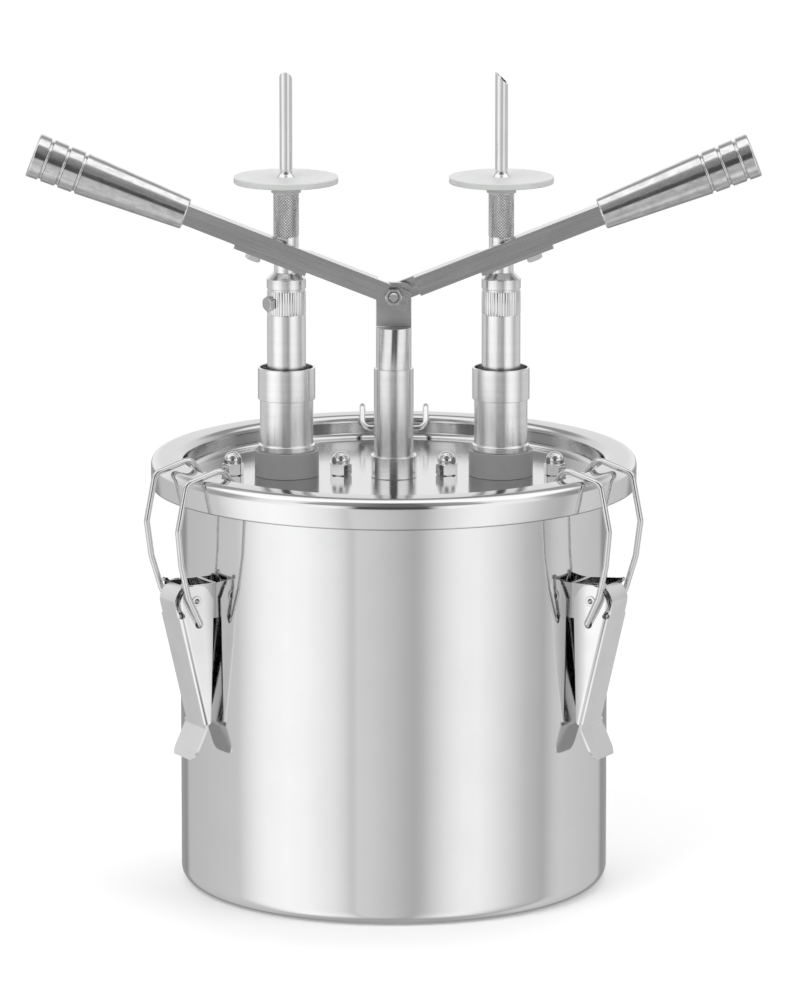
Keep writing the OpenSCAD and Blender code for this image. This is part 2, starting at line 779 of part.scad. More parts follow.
// Cap with a fluted band, a groove, a smooth band and a cone
module piston_cap(side) {
  bearing = side == left ? screw_bearing_left : screw_bearing_right;
  groove_z = rod_top + flute_h;
  color("#c6c7c9") at_pump(side) difference() {
    union() {
      rod(rod_r - rod_wall - hole_fit, rod_top - cap_spigot_h, rod_top);
      translate([0, 0, rod_top]) linear_extrude(flute_h) polygon([
        for (i = [0:2 * flute_count - 1]) let (a = i * 180 / flute_count)
          (cap_r - (i % 2) * flute_depth) * [cos(a), sin(a)]
      ]);
      rod(cap_r - cap_groove_depth, groove_z, groove_z + cap_groove_w);
      rod(cap_r, groove_z + cap_groove_w, cone_z);
      translate([0, 0, cone_z]) cylinder(h = cone_h, r1 = cap_r, r2 = stem_r, $fn = round_fn);
    }
    rod(stem_r + run_fit, stem_seat, cone_top + overrun);
    rod(stem_bore / 2, rod_top - cap_spigot_h - overrun, stem_seat + overrun);
    translate([0, 0, rod_top + flute_h / 2]) rotate([0, 90, bearing])
      rod(small_bolt_d / 2 + run_fit, 0, cap_r + overrun);
  }
}

module cap_screw(side) {
  bearing = side == left ? screw_bearing_left : screw_bearing_right;
  color("#c4c5c8") at_pump(side) translate([0, 0, rod_top + flute_h / 2]) rotate([0, 90, bearing]) {
    rod(small_bolt_d / 2, cap_r - screw_grip, cap_r);
    translate([0, 0, cap_r]) hex(small_af, small_head_h);
  }
}

// Hollow stem that carries the filling up to the needle
module stem(side) {
  color("#cacbcd") at_pump(side) difference() {
    union() {
      rod(stem_r, stem_seat, nut_z);
      rod(stem_top_d / 2, nut_z, stem_top);
    }
    rod(stem_bore / 2, stem_seat - overrun, stem_top + overrun);
  }
}

module nozzle_nut(side) {
  color("#8d8e90") at_pump(side) difference() {
    rod(nut_d / 2, nut_z, seat_z);
    rod(stem_top_d / 2 + run_fit, nut_z - overrun, needle_foot);
    rod(needle_r + run_fit, needle_foot - overrun, seat_z + overrun);
  }
}

// White disc that keeps the pastry off the nut, with its hub
module splash_disc(side) {
  color("#f4f4f1") at_pump(side) difference() {
    union() {
      rod(seat_d / 2, seat_z, disc_z);
      rod(disc_d / 2, disc_z, disc_top);
    }
    rod(needle_r + run_fit, seat_z - overrun, disc_top + overrun);
  }
}

// Hollow needle with a slanted tip and a flared flange on the disc
module needle(side) {
  tip = disc_top + needle_h;
  bearing = side == left ? needle_bearing_left : needle_bearing_right;
  color("#c8c9cb") at_pump(side) difference() {
    union() {
      rod(needle_r, needle_foot, tip);
      translate([0, 0, disc_top])
        cylinder(h = needle_flange_h, r1 = needle_flange_d / 2, r2 = needle_r, $fn = round_fn);
    }
    rod(needle_r - needle_wall, needle_foot - overrun, tip + overrun);
    rotate([0, 0, bearing]) translate([-needle_r, 0, tip]) rotate([0, needle_cut, 0])
      translate([-needle_d, -needle_d, 0]) cube([4 * needle_d, 2 * needle_d, 2 * needle_d]);
  }
}

// Bracket on the bucket: a curved base, two ears and the lugs that stop the lever
module latch_bracket(turn) {
  ear_in = ear_out - ear_t;
  low = pivot_z - bracket_low;
  high = pivot_z + bracket_high;
  color("#c0c1c3") at_latch(turn) difference() {
    union() {
      intersection() {
        pipe(bucket_r + bracket_gap + ear_t, bucket_r + bracket_gap, low, high);
        translate([0, -ear_out, low]) cube([pivot_r, 2 * ear_out, high - low]);
      }
      for (end = [left, right]) translate([0, end * (ear_in + ear_t / 2), 0])
        rotate([90, 0, 0]) linear_extrude(ear_t, center = true) polygon(concat(
          [[bucket_r + bracket_gap, low], [bucket_r + 2 * ear_t, low]],
          arc([pivot_r, pivot_z], ear_r, -70, 60),
          [[bucket_r + bracket_gap, high]]
        ));
      for (end = [left, right]) translate([pivot_r, 0, pivot_z]) rotate([0, -lug_angle, 0])
        rotate([-90 * end, 0, 0]) {
          translate([track_r, 0, 0]) rod(lug_r, ear_in, half_w - side_fit);
          translate([ear_r - lug_r, -lug_r, ear_in]) cube([track_r - ear_r + lug_r, 2 * lug_r, ear_t]);
        }
    }
    translate([pivot_r, 0, pivot_z]) rotate([90, 0, 0])
      cylinder(h = latch_w, r = latch_pin_d / 2 + run_fit, center = true, $fn = round_fn);
  }
}

module latch_pins() {
  color("#b0b1b4") for (turn = [0:2]) at_latch(turn) translate([pivot_r, 0, pivot_z])
    rotate([90, 0, 0])
      cylinder(h = latch_w + side_fit, r = latch_pin_d / 2, center = true, $fn = round_fn);
}

// Toggle lever: a tapering channel, curled in at its top, with a tip that turns out
module latch_lever(turn) {
  color("#b7b8ba") at_latch(turn) translate([pivot_r, 0, pivot_z]) rotate([0, latch_lean, 0])
    difference() {
      union() {
        intersection() {
          union() {
            translate([0, 0, -latch_len]) linear_extrude(latch_len) channel_section();
            translate([curl_x, 0, 0]) rotate([90, 0, 0]) rotate_extrude(angle = curl_turn, $fn = round_fn)
              intersection() {
                translate([-curl_x, 0]) channel_section();
                translate([0, -half_w]) square([curl_r, latch_w]);
              }
            for (end = [left, right]) translate([0, end * (half_w - latch_t / 2), 0])
              rotate([90, 0, 0]) linear_extrude(latch_t, center = true) intersection() {
                lever_side();
                translate([curl_x, 0]) circle(r = curl_r - channel_corner_r, $fn = round_fn);
              }
          }
          rotate([90, 0, 0]) linear_extrude(latch_w, center = true) lever_side();
        }
        turned_tip();
      }
      rotate([90, 0, 0])
        cylinder(h = latch_w + overrun, r = latch_pin_d / 2 + run_fit, center = true, $fn = round_fn);
      rotate([0, -latch_lean, 0]) translate([-bail_in, 0, -bail_drop]) rotate([90, 0, 0])
        cylinder(h = latch_w + overrun, r = bail_pin_d / 2 + run_fit, center = true, $fn = round_fn);
      rotate([0, -latch_lean, 0]) for (end = [left, right]) lug_track(end);
    }
}

// Side view of the lever's walls; its front lies clear of the curled face
module lever_side() {
  wall_end = -latch_len + tip_bend_r / 2;
  front = latch_face + overrun;
  polygon(concat(
    [[front, -latch_len], [front, latch_top + overrun],
      [curl_x + curl_r * cos(curl_turn), latch_top + overrun]],
    arc([0, 0], wall_top_r, 75, 165, 10),
    [[-wall_back, -wall_back * wall_foot_share], [latch_face - latch_t - wall_end_depth, wall_end],
      [latch_face - latch_t, wall_end - latch_t], [latch_face - latch_t, -latch_len]]
  ));
}

// Cross-section of the channel: outward along X, width along Y
module channel_section() {
  c = channel_corner_r;
  inner = c - latch_t;
  polygon(concat(
    [[-2 * wall_back, -half_w]],
    arc([latch_face - c, c - half_w], c, -90, 0),
    arc([latch_face - c, half_w - c], c, 0, 90),
    [[-2 * wall_back, half_w], [-2 * wall_back, wall_in]],
    arc([latch_face - c, half_w - c], inner, 90, 0),
    arc([latch_face - c, c - half_w], inner, 0, -90),
    [[-2 * wall_back, -wall_in]]
  ));
}

// The tip below the channel, turned out on an arc and rounded at its end
module turned_tip() {
  bend_c = [latch_face - latch_t + tip_bend_r, -latch_len];
  dir = [sin(tip_turn), -cos(tip_turn)];
  outer = bend_c - tip_bend_r * [cos(tip_turn), sin(tip_turn)];
  inner = bend_c - (tip_bend_r - latch_t) * [cos(tip_turn), sin(tip_turn)];
  low = outer + tip_len * dir;
  root_z = latch_t - latch_len;
  intersection() {
    rotate([90, 0, 0]) linear_extrude(latch_w, center = true) polygon(concat(
      [[latch_face - latch_t, root_z]],
      arc(bend_c, tip_bend_r, 180, 180 + tip_turn),
      [low, inner + tip_len * dir],
      arc(bend_c, tip_bend_r - latch_t, 180 + tip_turn, 180),
      [[latch_face, root_z]]
    ));
    rotate([90, 0, 90]) linear_extrude(pivot_r) polygon(concat(
      [[half_w, root_z + overrun], [-half_w, root_z + overrun]],
      arc([tip_corner_r - half_w, low[1] + tip_corner_r], tip_corner_r, 180, 270),
      arc([half_w - tip_corner_r, low[1] + tip_corner_r], tip_corner_r, 270, 360)
    ));
  }
}

// Curved track in the lever's corner, round the pivot, for the bracket's lug
module lug_track(end) {
  rotate([90, 0, 0]) translate([0, 0, end > 0 ? -half_w - overrun : track_in])
    linear_extrude(half_w + overrun - track_in) union() {
      polygon(concat(
        arc([0, 0], track_r + track_half_w, track_low, track_high, 16),
        arc([0, 0], track_r - track_half_w, track_high, track_low, 16)
      ));
      for (a = [track_low, track_high])
        translate(track_r * [cos(a), sin(a)]) circle(r = track_half_w, $fn = 24);
    }
}

// Points along a bent wire: straight runs with an arc of the given radius at each bend
function bent_path(points, radii, n = 4) =
  let (last = len(points) - 1, d = [for (i = [0:last - 1]) unit(points[i + 1] - points[i])])
  concat(
    [points[0]],
    [for (i = [1:last - 1])
      let (turn = acos(d[i - 1] * d[i]), inward = cross(unit(cross(d[i - 1], d[i])), d[i - 1]),
        start = points[i] - radii[i] * tan(turn / 2) * d[i - 1])
      each [for (k = [0:n]) let (a = turn * k / n)
        start + radii[i] * (sin(a) * d[i - 1] + (1 - cos(a)) * inward)]],
    [points[last]]
  );

function square_to(v, d) = unit(v - (v * d) * d);

// Rings of a round wire along a path, each square to the path and turned with it
function wire_rings(path, r, sides) =
  let (last = len(path) - 1,
    d = [for (i = [0:last]) unit(path[min(i + 1, last)] - path[max(i - 1, 0)])],
    ups = [for (i = 0, u = [1, 0, 0]; i <= last; i = i + 1, u = square_to(u, d[min(i, last)])) u])
  [for (i = [0:last]) let (u = square_to(ups[i], d[i]), v = cross(d[i], u))
    [for (k = [0:sides - 1]) let (a = k * 360 / sides) path[i] + r * (cos(a) * u + sin(a) * v)]];

// A closed tube through rings of points
module tube(rings) {
  sides = len(rings[0]);
  last = (len(rings) - 1) * sides;
  polyhedron([for (ring = rings) each ring], concat(
    [[for (k = [0:sides - 1]) k]],
    [for (a = [0:sides:last - sides], k = [0:sides - 1]) let (n = (k + 1) % sides)
      each [[a + k, a + sides + k, a + n], [a + n, a + sides + k, a + sides + n]]],
    [[for (k = [sides - 1:-1:0]) last + k]]
  ));
}

// Wire bail: pivots in the lever, legs over the rim, hook bar in the lid's recess
module latch_bail(turn) {
  spread = leg_in * [1, 1] + (half_bail - leg_in) * leg_spread_shares;
  leg = [
    [bail_r, half_w + side_fit, bail_z],
    [bail_r, leg_in, bail_z],
    [bail_r + leg_low_out, spread[0], bail_z + leg_low_up],
    [bail_r + leg_mid_out, spread[1], bail_z + leg_mid_up],
    [lid_r + leg_top_out, half_bail, bail_z + leg_top_up],
    [bail_out_r, half_bail, slope_z(bail_out_r)],
    [bail_over_r, half_bail, slope_z(bail_over_r)],
    [hook_r, half_bail, hook_z]
  ];
  count = len(leg);
  points = concat(leg, [for (i = [count - 1:-1:0]) [leg[i][0], -leg[i][1], leg[i][2]]]);
  bends = [0, bail_foot_r, bail_bend_r, bail_bend_r, bail_bend_r, bail_bend_r, bail_bend_r,
    bail_corner_r];
  radii = concat(bends, [for (i = [count - 1:-1:0]) bends[i]]);
  color("#c8c9cc") at_latch(turn) {
    tube(wire_rings(bent_path(points, radii), wall_r, bail_sides));
    for (end = [left, right]) translate([bail_r, 0, bail_z]) rotate([-90 * end, 0, 0])
      rod(bail_pin_d / 2, wall_in - side_fit, half_w + side_fit + wall_r / 2);
  }
}

bucket();
lid();
lid_gasket();
pump_base_ring(left);  // pump_base_ring_left
pump_base_ring(right);  // pump_base_ring_right
barrel(left);  // barrel_left
barrel(right);  // barrel_right
guide_bushes();
pump_flange(left);  // pump_flange_left
pump_flange(right);  // pump_flange_right
acorn_nuts();
strainer_foot(left);  // strainer_foot_left
strainer_foot(right);  // strainer_foot_right
inlet_balls();
return_spring(left);  // return_spring_left
return_spring(right);  // return_spring_right
lever_post();
post_foot_ring();
post_screw();
post_washer();
pivot_bolt();
pivot_nut();
latch_bracket(0);  // latch_bracket_rear
latch_bracket(1);  // latch_bracket_left
latch_bracket(2);  // latch_bracket_right
latch_pins();
lever_bar(left);  // lever_bar_left
lever_grip(left);  // lever_grip_left
push_plate(left);  // push_plate_left
plate_bolt(left);  // plate_bolt_left
lever_bar(right);  // lever_bar_right
lever_grip(right);  // lever_grip_right
push_plate(right);  // push_plate_right
plate_bolt(right);  // plate_bolt_right
piston_tube(left);  // piston_tube_left
piston_head(left);  // piston_head_left
piston_seal(left);  // piston_seal_left
outlet_ball(left);  // outlet_ball_left
piston_cap(left);  // piston_cap_left
cap_screw(left);  // cap_screw_left
stem(left);  // stem_left
nozzle_nut(left);  // nozzle_nut_left
splash_disc(left);  // splash_disc_left
needle(left);  // needle_left
piston_tube(right);  // piston_tube_right
piston_head(right);  // piston_head_right
piston_seal(right);  // piston_seal_right
outlet_ball(right);  // outlet_ball_right
piston_cap(right);  // piston_cap_right
cap_screw(right);  // cap_screw_right
stem(right);  // stem_right
nozzle_nut(right);  // nozzle_nut_right
splash_disc(right);  // splash_disc_right
needle(right);  // needle_right
latch_lever(0);  // latch_lever_rear
latch_bail(0);  // latch_bail_rear
latch_lever(1);  // latch_lever_left
latch_bail(1);  // latch_bail_left
latch_lever(2);  // latch_lever_right
latch_bail(2);  // latch_bail_right
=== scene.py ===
"""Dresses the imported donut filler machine: polished bucket and lid, turned pumps, levers and latches."""

import logging
import math
from dataclasses import dataclass, replace
from enum import Enum
from typing import Callable, Optional, Sequence, Union

import bmesh
import bpy
from mathutils import Matrix, Vector


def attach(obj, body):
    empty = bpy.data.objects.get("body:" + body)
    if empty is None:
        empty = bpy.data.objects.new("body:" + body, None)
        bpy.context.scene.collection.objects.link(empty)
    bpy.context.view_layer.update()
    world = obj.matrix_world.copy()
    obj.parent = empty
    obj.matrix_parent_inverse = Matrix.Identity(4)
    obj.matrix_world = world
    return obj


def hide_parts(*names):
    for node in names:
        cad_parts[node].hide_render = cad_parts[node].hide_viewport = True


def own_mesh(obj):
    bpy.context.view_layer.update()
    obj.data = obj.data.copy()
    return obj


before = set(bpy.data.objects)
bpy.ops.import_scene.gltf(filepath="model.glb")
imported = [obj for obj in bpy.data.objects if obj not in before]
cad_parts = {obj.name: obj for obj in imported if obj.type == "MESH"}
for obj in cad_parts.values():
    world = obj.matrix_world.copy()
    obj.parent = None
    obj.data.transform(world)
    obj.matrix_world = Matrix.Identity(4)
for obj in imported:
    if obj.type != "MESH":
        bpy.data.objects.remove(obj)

LOG = logging.getLogger("donut_filler")
MM = 0.001
HERE = Matrix.Identity(4)
BLACK = (0.0, 0.0, 0.0)
WHITE = (1.0, 1.0, 1.0)
ROUND_THE_AXIS = 0.25

Point = tuple[float, float]
Triple = tuple[float, float, float]
Shaper = Callable[[float, float, float], float]


class Side(Enum):
    """The two sides of the machine."""

    LEFT = "left"
    RIGHT = "right"

    @property
    def number(self) -> int:
        """0 on the left, 1 on the right."""
        return int(self is Side.RIGHT)

    @property
    def sign(self) -> int:
        """-1 on the left, 1 on the right."""
        return 2 * self.number - 1


class Latch(Enum):
    """The three toggle latches and their bearings in degrees."""

    REAR = ("rear", 90.0)
    LEFT = ("left", 210.0)
    RIGHT = ("right", 330.0)

    @property
    def label(self) -> str:
        """The latch's word in the names of its pieces."""
        return self.value[0]

    @property
    def bearing(self) -> float:
        """The latch's bearing round the bucket."""
        return self.value[1]


# Shader maths


@dataclass(frozen=True)
class Socket:
    """A node's output that takes part in Python expressions."""

    graph: "Graph"
    link: Optional[bpy.types.NodeSocket]

    def fn(self, operation: str, other: "Value" = 0.0) -> "Socket":
        """Any Math operation on this socket."""
        return self.graph.math(operation, self, other)

    def __add__(self, other: "Value") -> "Socket":
        """self + other."""
        return self.fn("ADD", other)

    __radd__ = __add__

    def __mul__(self, other: "Value") -> "Socket":
        """self * other."""
        return self.fn("MULTIPLY", other)

    __rmul__ = __mul__

    def __sub__(self, other: "Value") -> "Socket":
        """self - other."""
        return self.fn("SUBTRACT", other)

    def __rsub__(self, other: "Value") -> "Socket":
        """other - self."""
        return self.graph.math("SUBTRACT", other, self)

    def __truediv__(self, other: "Value") -> "Socket":
        """self / other."""
        return self.fn("DIVIDE", other)

    def __rtruediv__(self, other: "Value") -> "Socket":
        """other / self."""
        return self.graph.math("DIVIDE", other, self)


Value = Union[Socket, float, Sequence[float]]


class Graph:
    """Adds nodes to one node tree."""

    def __init__(self, tree: bpy.types.NodeTree) -> None:
        """Clears the tree and keeps it."""
        self.tree = tree
        tree.nodes.clear()

    def node(
        self,
        kind: str,
        settings: Optional[dict] = None,
        inputs: Optional[dict] = None,
        out: Union[int, str] = 0,
    ) -> Socket:
        """Adds one node.

        Args:
            kind: The node's type name.
            settings: Values of the node itself; "stops" fills its colour ramp.
            inputs: Values or links of its input sockets, by name or number.
            out: The output to return.

        Returns:
            The chosen output.
        """
        made = self.tree.nodes.new(kind)
        for name, value in (settings or {}).items():
            if name == "stops":
                self._fill_ramp(made.color_ramp, value)
            else:
                setattr(made, name, value)
        for name, value in (inputs or {}).items():
            socket = made.inputs[name]
            if isinstance(value, Socket):
                self.tree.links.new(value.link, socket)
            else:
                socket.default_value = (*value, 1.0) if socket.type == "RGBA" else value
        return Socket(self, made.outputs[out] if len(made.outputs) else None)

    @staticmethod
    def _fill_ramp(ramp: bpy.types.ColorRamp, stops: Sequence[Point]) -> None:
        """Sets a colour ramp's stops.

        Args:
            ramp: The ramp.
            stops: Pairs of place and grey level.
        """
        while len(ramp.elements) > 1:
            ramp.elements.remove(ramp.elements[-1])
        for i, (place, level) in enumerate(stops):
            item = ramp.elements[0] if i == 0 else ramp.elements.new(place)
            item.position = place
            item.color = (level, level, level, 1.0)

    def math(self, operation: str, a: Value, b: Value) -> Socket:
        """One Math node."""
        return self.node("ShaderNodeMath", {"operation": operation}, {0: a, 1: b})

    def coords(self, kind: str = "Object") -> Socket:
        """The piece's own coordinates, in metres, or another kind of them."""
        return self.node("ShaderNodeTexCoord", out=kind)

    def axis(self, vector: Socket, name: str) -> Socket:
        """One axis of a vector, "X", "Y" or "Z"."""
        return self.node("ShaderNodeSeparateXYZ", None, {0: vector}, name)

    def facing(self) -> Socket:
        """How squarely the surface faces the piece's Y axis, from 0 to 1."""
        return self.axis(self.coords("Normal"), "Y").fn("ABSOLUTE")

    def scaled(self, vector: Socket, scale: Triple) -> Socket:
        """The vector times a scale on each axis."""
        return self.node("ShaderNodeVectorMath", {"operation": "MULTIPLY"}, {0: vector, 1: scale})

    def length(self, vector: Socket) -> Socket:
        """The vector's length."""
        return self.node("ShaderNodeVectorMath", {"operation": "LENGTH"}, {0: vector}, "Value")

    def fade(self, value: Socket, low: float, high: float, start: float = 0.0, end: float = 1.0) -> Socket:
        """The value mapped from low and high to start and end, and held outside them."""
        return self.node("ShaderNodeMapRange", None, {0: value, 1: low, 2: high, 3: start, 4: end})

    def noise(self, place: Socket, scale: Union[float, Triple], detail: float = 2.0) -> Socket:
        """Noise from 0 to 1, about 0.5 in the middle.

        Args:
            place: The coordinates.
            scale: The noise's scale, or one for each axis.
            detail: Its detail.

        Returns:
            The noise.
        """
        if isinstance(scale, tuple):
            place, scale = self.scaled(place, scale), 1.0
        return self.node("ShaderNodeTexNoise", None, {"Vector": place, "Scale": scale, "Detail": detail})

    def ramp(self, place: Socket, stops: Sequence[Point]) -> Socket:
        """A colour ramp of grey levels."""
        return self.node("ShaderNodeValToRGB", {"stops": stops}, {0: place})

    def blend(self, factor: Value, a: Value, b: Value) -> Socket:
        """A colour between a and b."""
        return self.node("ShaderNodeMix", {"data_type": "RGBA"}, {0: factor, 6: a, 7: b}, 2)

    def shade(self, factor: Value, a: Socket, b: Socket) -> Socket:
        """A mix of two shaders."""
        return self.node("ShaderNodeMixShader", None, {0: factor, 1: a, 2: b})

    def bump(self, height: Socket, strength: float, distance: float) -> Socket:
        """A normal from a height of 0 to 1, which is so many metres deep."""
        inputs = {"Height": height, "Strength": strength, "Distance": distance}
        return self.node("ShaderNodeBump", None, inputs)


# Finishes


@dataclass(frozen=True)
class Finish:
    """A finish of the machine; each kind below paints its own shader."""

    name: str
    tone: Triple
    roughness: float

    def inputs(self, graph: Graph) -> dict:
        """The shader's inputs, from the material's nodes, as names with values or links."""
        raise NotImplementedError

    def build(self) -> bpy.types.Material:
        """Makes the material, or returns it if it exists.

        Returns:
            The material.
        """
        label = f"finish_{self.name}"
        if label not in bpy.data.materials:
            material = bpy.data.materials.new(label)
            material.use_nodes = True
            graph = Graph(material.node_tree)
            shader = graph.node("ShaderNodeBsdfPrincipled", None, self.inputs(graph))
            graph.node("ShaderNodeOutputMaterial", None, {"Surface": shader})
        return bpy.data.materials[label]

    def tinted(self, graph: Graph, mask: Value, change: float = 1.0) -> Socket:
        """The tone, darker by a share where the mask is 1."""
        return graph.blend(mask, self.tone, tuple(c * (1 - change) for c in self.tone))


@dataclass(frozen=True)
class PolishedSheet(Finish):
    """Polished sheet steel: a slow ripple of the sheet, faint hairlines and smears."""

    ripple: float = 0.00005
    hairline: Triple = (60.0, 60.0, 1400.0)
    anisotropic: float = 0.0

    def inputs(self, graph: Graph) -> dict:
        """The sheet's shader.

        Args:
            graph: The material's nodes.

        Returns:
            The shader's inputs.
        """
        place = graph.coords()
        slow = graph.noise(place, 14.0, 1.0)
        smear = graph.noise(place, 45.0, 4.0)
        lines = graph.noise(place, self.hairline, 3.0)
        return {
            "Base Color": self.tinted(graph, smear, 0.06),
            "Metallic": 1.0,
            "Roughness": smear * 0.03 + (self.roughness - 0.02) + lines * 0.02,
            "Anisotropic": self.anisotropic,
            "Anisotropic Rotation": ROUND_THE_AXIS,
            "Normal": graph.bump(slow + lines * 0.004, 1.0, self.ripple),
        }


@dataclass(frozen=True)
class LidSheet(PolishedSheet):
    """The lid's sheet: a satin plate inside a polished rim, in millimetres, with painted shade by radius and
    a painted shadow line along the skirt's lower edge.
    """

    edge_r: float = 125.0
    # Painted shade by radius: pairs of radius and how much darker the tone is there.
    shades: tuple[Point, ...] = ((102, 0.10), (104, 0.16), (112, 0.27), (120, 0.27), (124, 0.0))
    plate_r: float = 104.0
    plate_dull: float = 0.04
    # Heights of the painted shadow line along the skirt's lower edge, and how dark it is.
    shadow_line_z: Point = (207.6, 208.3)
    shadow_line_shade: float = 0.6

    def inputs(self, graph: Graph) -> dict:
        """The lid's shader.

        Args:
            graph: The material's nodes.

        Returns:
            The shader's inputs.
        """
        made = super().inputs(graph)
        radius = graph.length(graph.scaled(graph.coords(), (1.0, 1.0, 0.0)))
        plate = graph.fade(radius, (self.plate_r - 2) * MM, self.plate_r * MM, 1.0, 0.0)
        # Painted shade: the plate and the top of the rim are darker by radius, which dims their reflections;
        # the skirt keeps the full tone.
        stops = [(r / self.edge_r, level) for r, level in self.shades]
        shade = graph.ramp(radius / (self.edge_r * MM), stops)
        # Painted shadow: a thin dark line along the skirt's lower edge, the shadow gap between the skirt and
        # the bucket.
        low, high = (z * MM for z in self.shadow_line_z)
        cut = graph.fade(graph.axis(graph.coords(), "Z"), low, high, self.shadow_line_shade, 0.0)
        made["Base Color"] = self.tinted(graph, shade + cut)
        made["Roughness"] = made["Roughness"] + plate * self.plate_dull
        return made


@dataclass(frozen=True)
class TurnedSteel(Finish):
    """Steel turned on a lathe: fine rings along the piece's Z axis, and worn, mottled patches."""

    pitch: float = 0.00035
    depth: float = 0.000006
    anisotropic: float = 0.55
    wear: float = 0.0

    def inputs(self, graph: Graph) -> dict:
        """The turned steel's shader.

        Args:
            graph: The material's nodes.

        Returns:
            The shader's inputs.
        """
        place = graph.coords()
        wander = graph.noise(place, (4.0, 4.0, 900.0), 3.0)
        rings = (graph.axis(place, "Z") * (math.tau / self.pitch) + wander * 5.0).fn("SINE") * 0.5 + 0.5
        smear = graph.noise(place, 90.0, 3.0)
        bands = graph.noise(place, (2.0, 2.0, 260.0))
        worn = graph.fade(graph.noise(place, (420.0, 420.0, 190.0), 5.0), 0.42, 0.62)
        rough = worn * (self.wear * 0.5) + rings * 0.05 + bands * 0.10
        return {
            "Base Color": self.tinted(graph, bands * 0.14 + worn * self.wear),
            "Metallic": 1.0,
            "Roughness": rough + (self.roughness - 0.10) + smear * 0.06,
            "Anisotropic": self.anisotropic,
            "Anisotropic Rotation": ROUND_THE_AXIS,
            "Normal": graph.bump(rings * 0.5 + wander, 0.6, self.depth),
        }


@dataclass(frozen=True)
class MilledPost(TurnedSteel):
    """The lever post's turned steel, rougher on the flats milled at its top, with painted shade on these
    flats that is darkest at their foot.
    """

    flat_z: float = 78.4
    # How much painted shade darkens the flats.
    face_shade: float = 0.06
    flat_roughness: float = 0.62

    def inputs(self, graph: Graph) -> dict:
        """The post's shader.

        Args:
            graph: The material's nodes.

        Returns:
            The shader's inputs.
        """
        made = super().inputs(graph)
        up = graph.axis(graph.coords(), "Z") / MM - self.flat_z
        flat = graph.fade(up, 0.0, 0.2) * graph.fade(graph.facing(), 0.9, 0.97)
        # Painted shade: the flats are darkened, most near their foot by the milled shoulder.
        foot = graph.fade(up, 0.5, 5.0, 0.2, 0.0)
        made["Base Color"] = graph.blend(flat * (foot + self.face_shade), made["Base Color"], BLACK)
        made["Roughness"] = made["Roughness"] * (1.0 - flat) + flat * self.flat_roughness
        return made


@dataclass(frozen=True)
class BrushedBar(Finish):
    """Drawn and brushed steel bar: grain along the piece's X axis, and painted shade on the wide faces."""

    # How much painted shade darkens the wide faces.
    face_shade: float = 0.34
    mottle: float = 0.24

    def inputs(self, graph: Graph) -> dict:
        """The bar's shader.

        Args:
            graph: The material's nodes.

        Returns:
            The shader's inputs.
        """
        place = graph.coords()
        grain = graph.noise(place, (35.0, 2600.0, 2600.0), 3.0)
        streak = graph.noise(place, (14.0, 420.0, 420.0))
        smear = graph.noise(place, 60.0, 3.0)
        patch = graph.fade(streak, 0.36, 0.66)
        speck = graph.fade(grain, 0.35, 0.65)
        grit = graph.noise(place, 1300.0)
        mixed = patch * 0.25 + grit * 0.35 + speck * 0.25 + smear * 0.15
        # Painted shade: the wide faces, square to the piece's Y axis, are darker than the top and bottom; the
        # mottle is the bar's own marks.
        shade = graph.fade(graph.facing(), 0.6, 0.9) * self.face_shade + mixed * self.mottle
        return {
            "Base Color": self.tinted(graph, shade),
            "Metallic": 1.0,
            "Roughness": grain * 0.14 + streak * 0.10 + (self.roughness - 0.14) + smear * 0.06,
            "Normal": graph.bump(grain, 0.5, 0.00001),
        }


@dataclass(frozen=True)
class BrightSteel(Finish):
    """Bright steel of screws, nuts, wire and knurls: small marks and a smeared sheen."""

    marks: float = 260.0

    def inputs(self, graph: Graph) -> dict:
        """The bright steel's shader.

        Args:
            graph: The material's nodes.

        Returns:
            The shader's inputs.
        """
        place = graph.coords()
        marks = graph.noise(place, self.marks, 4.0)
        smear = graph.noise(place, 70.0)
        return {
            "Base Color": self.tinted(graph, smear, 0.12),
            "Metallic": 1.0,
            "Roughness": marks * 0.10 + smear * 0.06 + (self.roughness - 0.08),
            "Normal": graph.bump(marks, 0.35, 0.00002),
        }


@dataclass(frozen=True)
class HookedSheet(BrightSteel):
    """A latch lever's sheet, with painted shade round the holes that the bail hooks into."""

    hole: Point = (0.0, 0.0)
    hole_r: float = 2.25
    blur: float = 0.1
    # How dark the painted shade round the holes is.
    hole_shade: float = 0.86

    def inputs(self, graph: Graph) -> dict:
        """The latch lever's shader.

        Args:
            graph: The material's nodes.

        Returns:
            The shader's inputs.
        """
        made = super().inputs(graph)
        place = graph.coords()
        out, up = (graph.axis(place, name) / MM - middle for name, middle in zip("XZ", self.hole))
        far = (out * out + up * up).fn("SQRT")
        # Painted shade: a dark disc, wider than the bail's wire, shades the clearance round each hole.
        hole = graph.fade(far, self.hole_r - self.blur, self.hole_r + self.blur, 1.0, 0.0)
        made["Base Color"] = self.tinted(graph, graph.noise(place, 70.0) * 0.12 + hole * self.hole_shade)
        return made


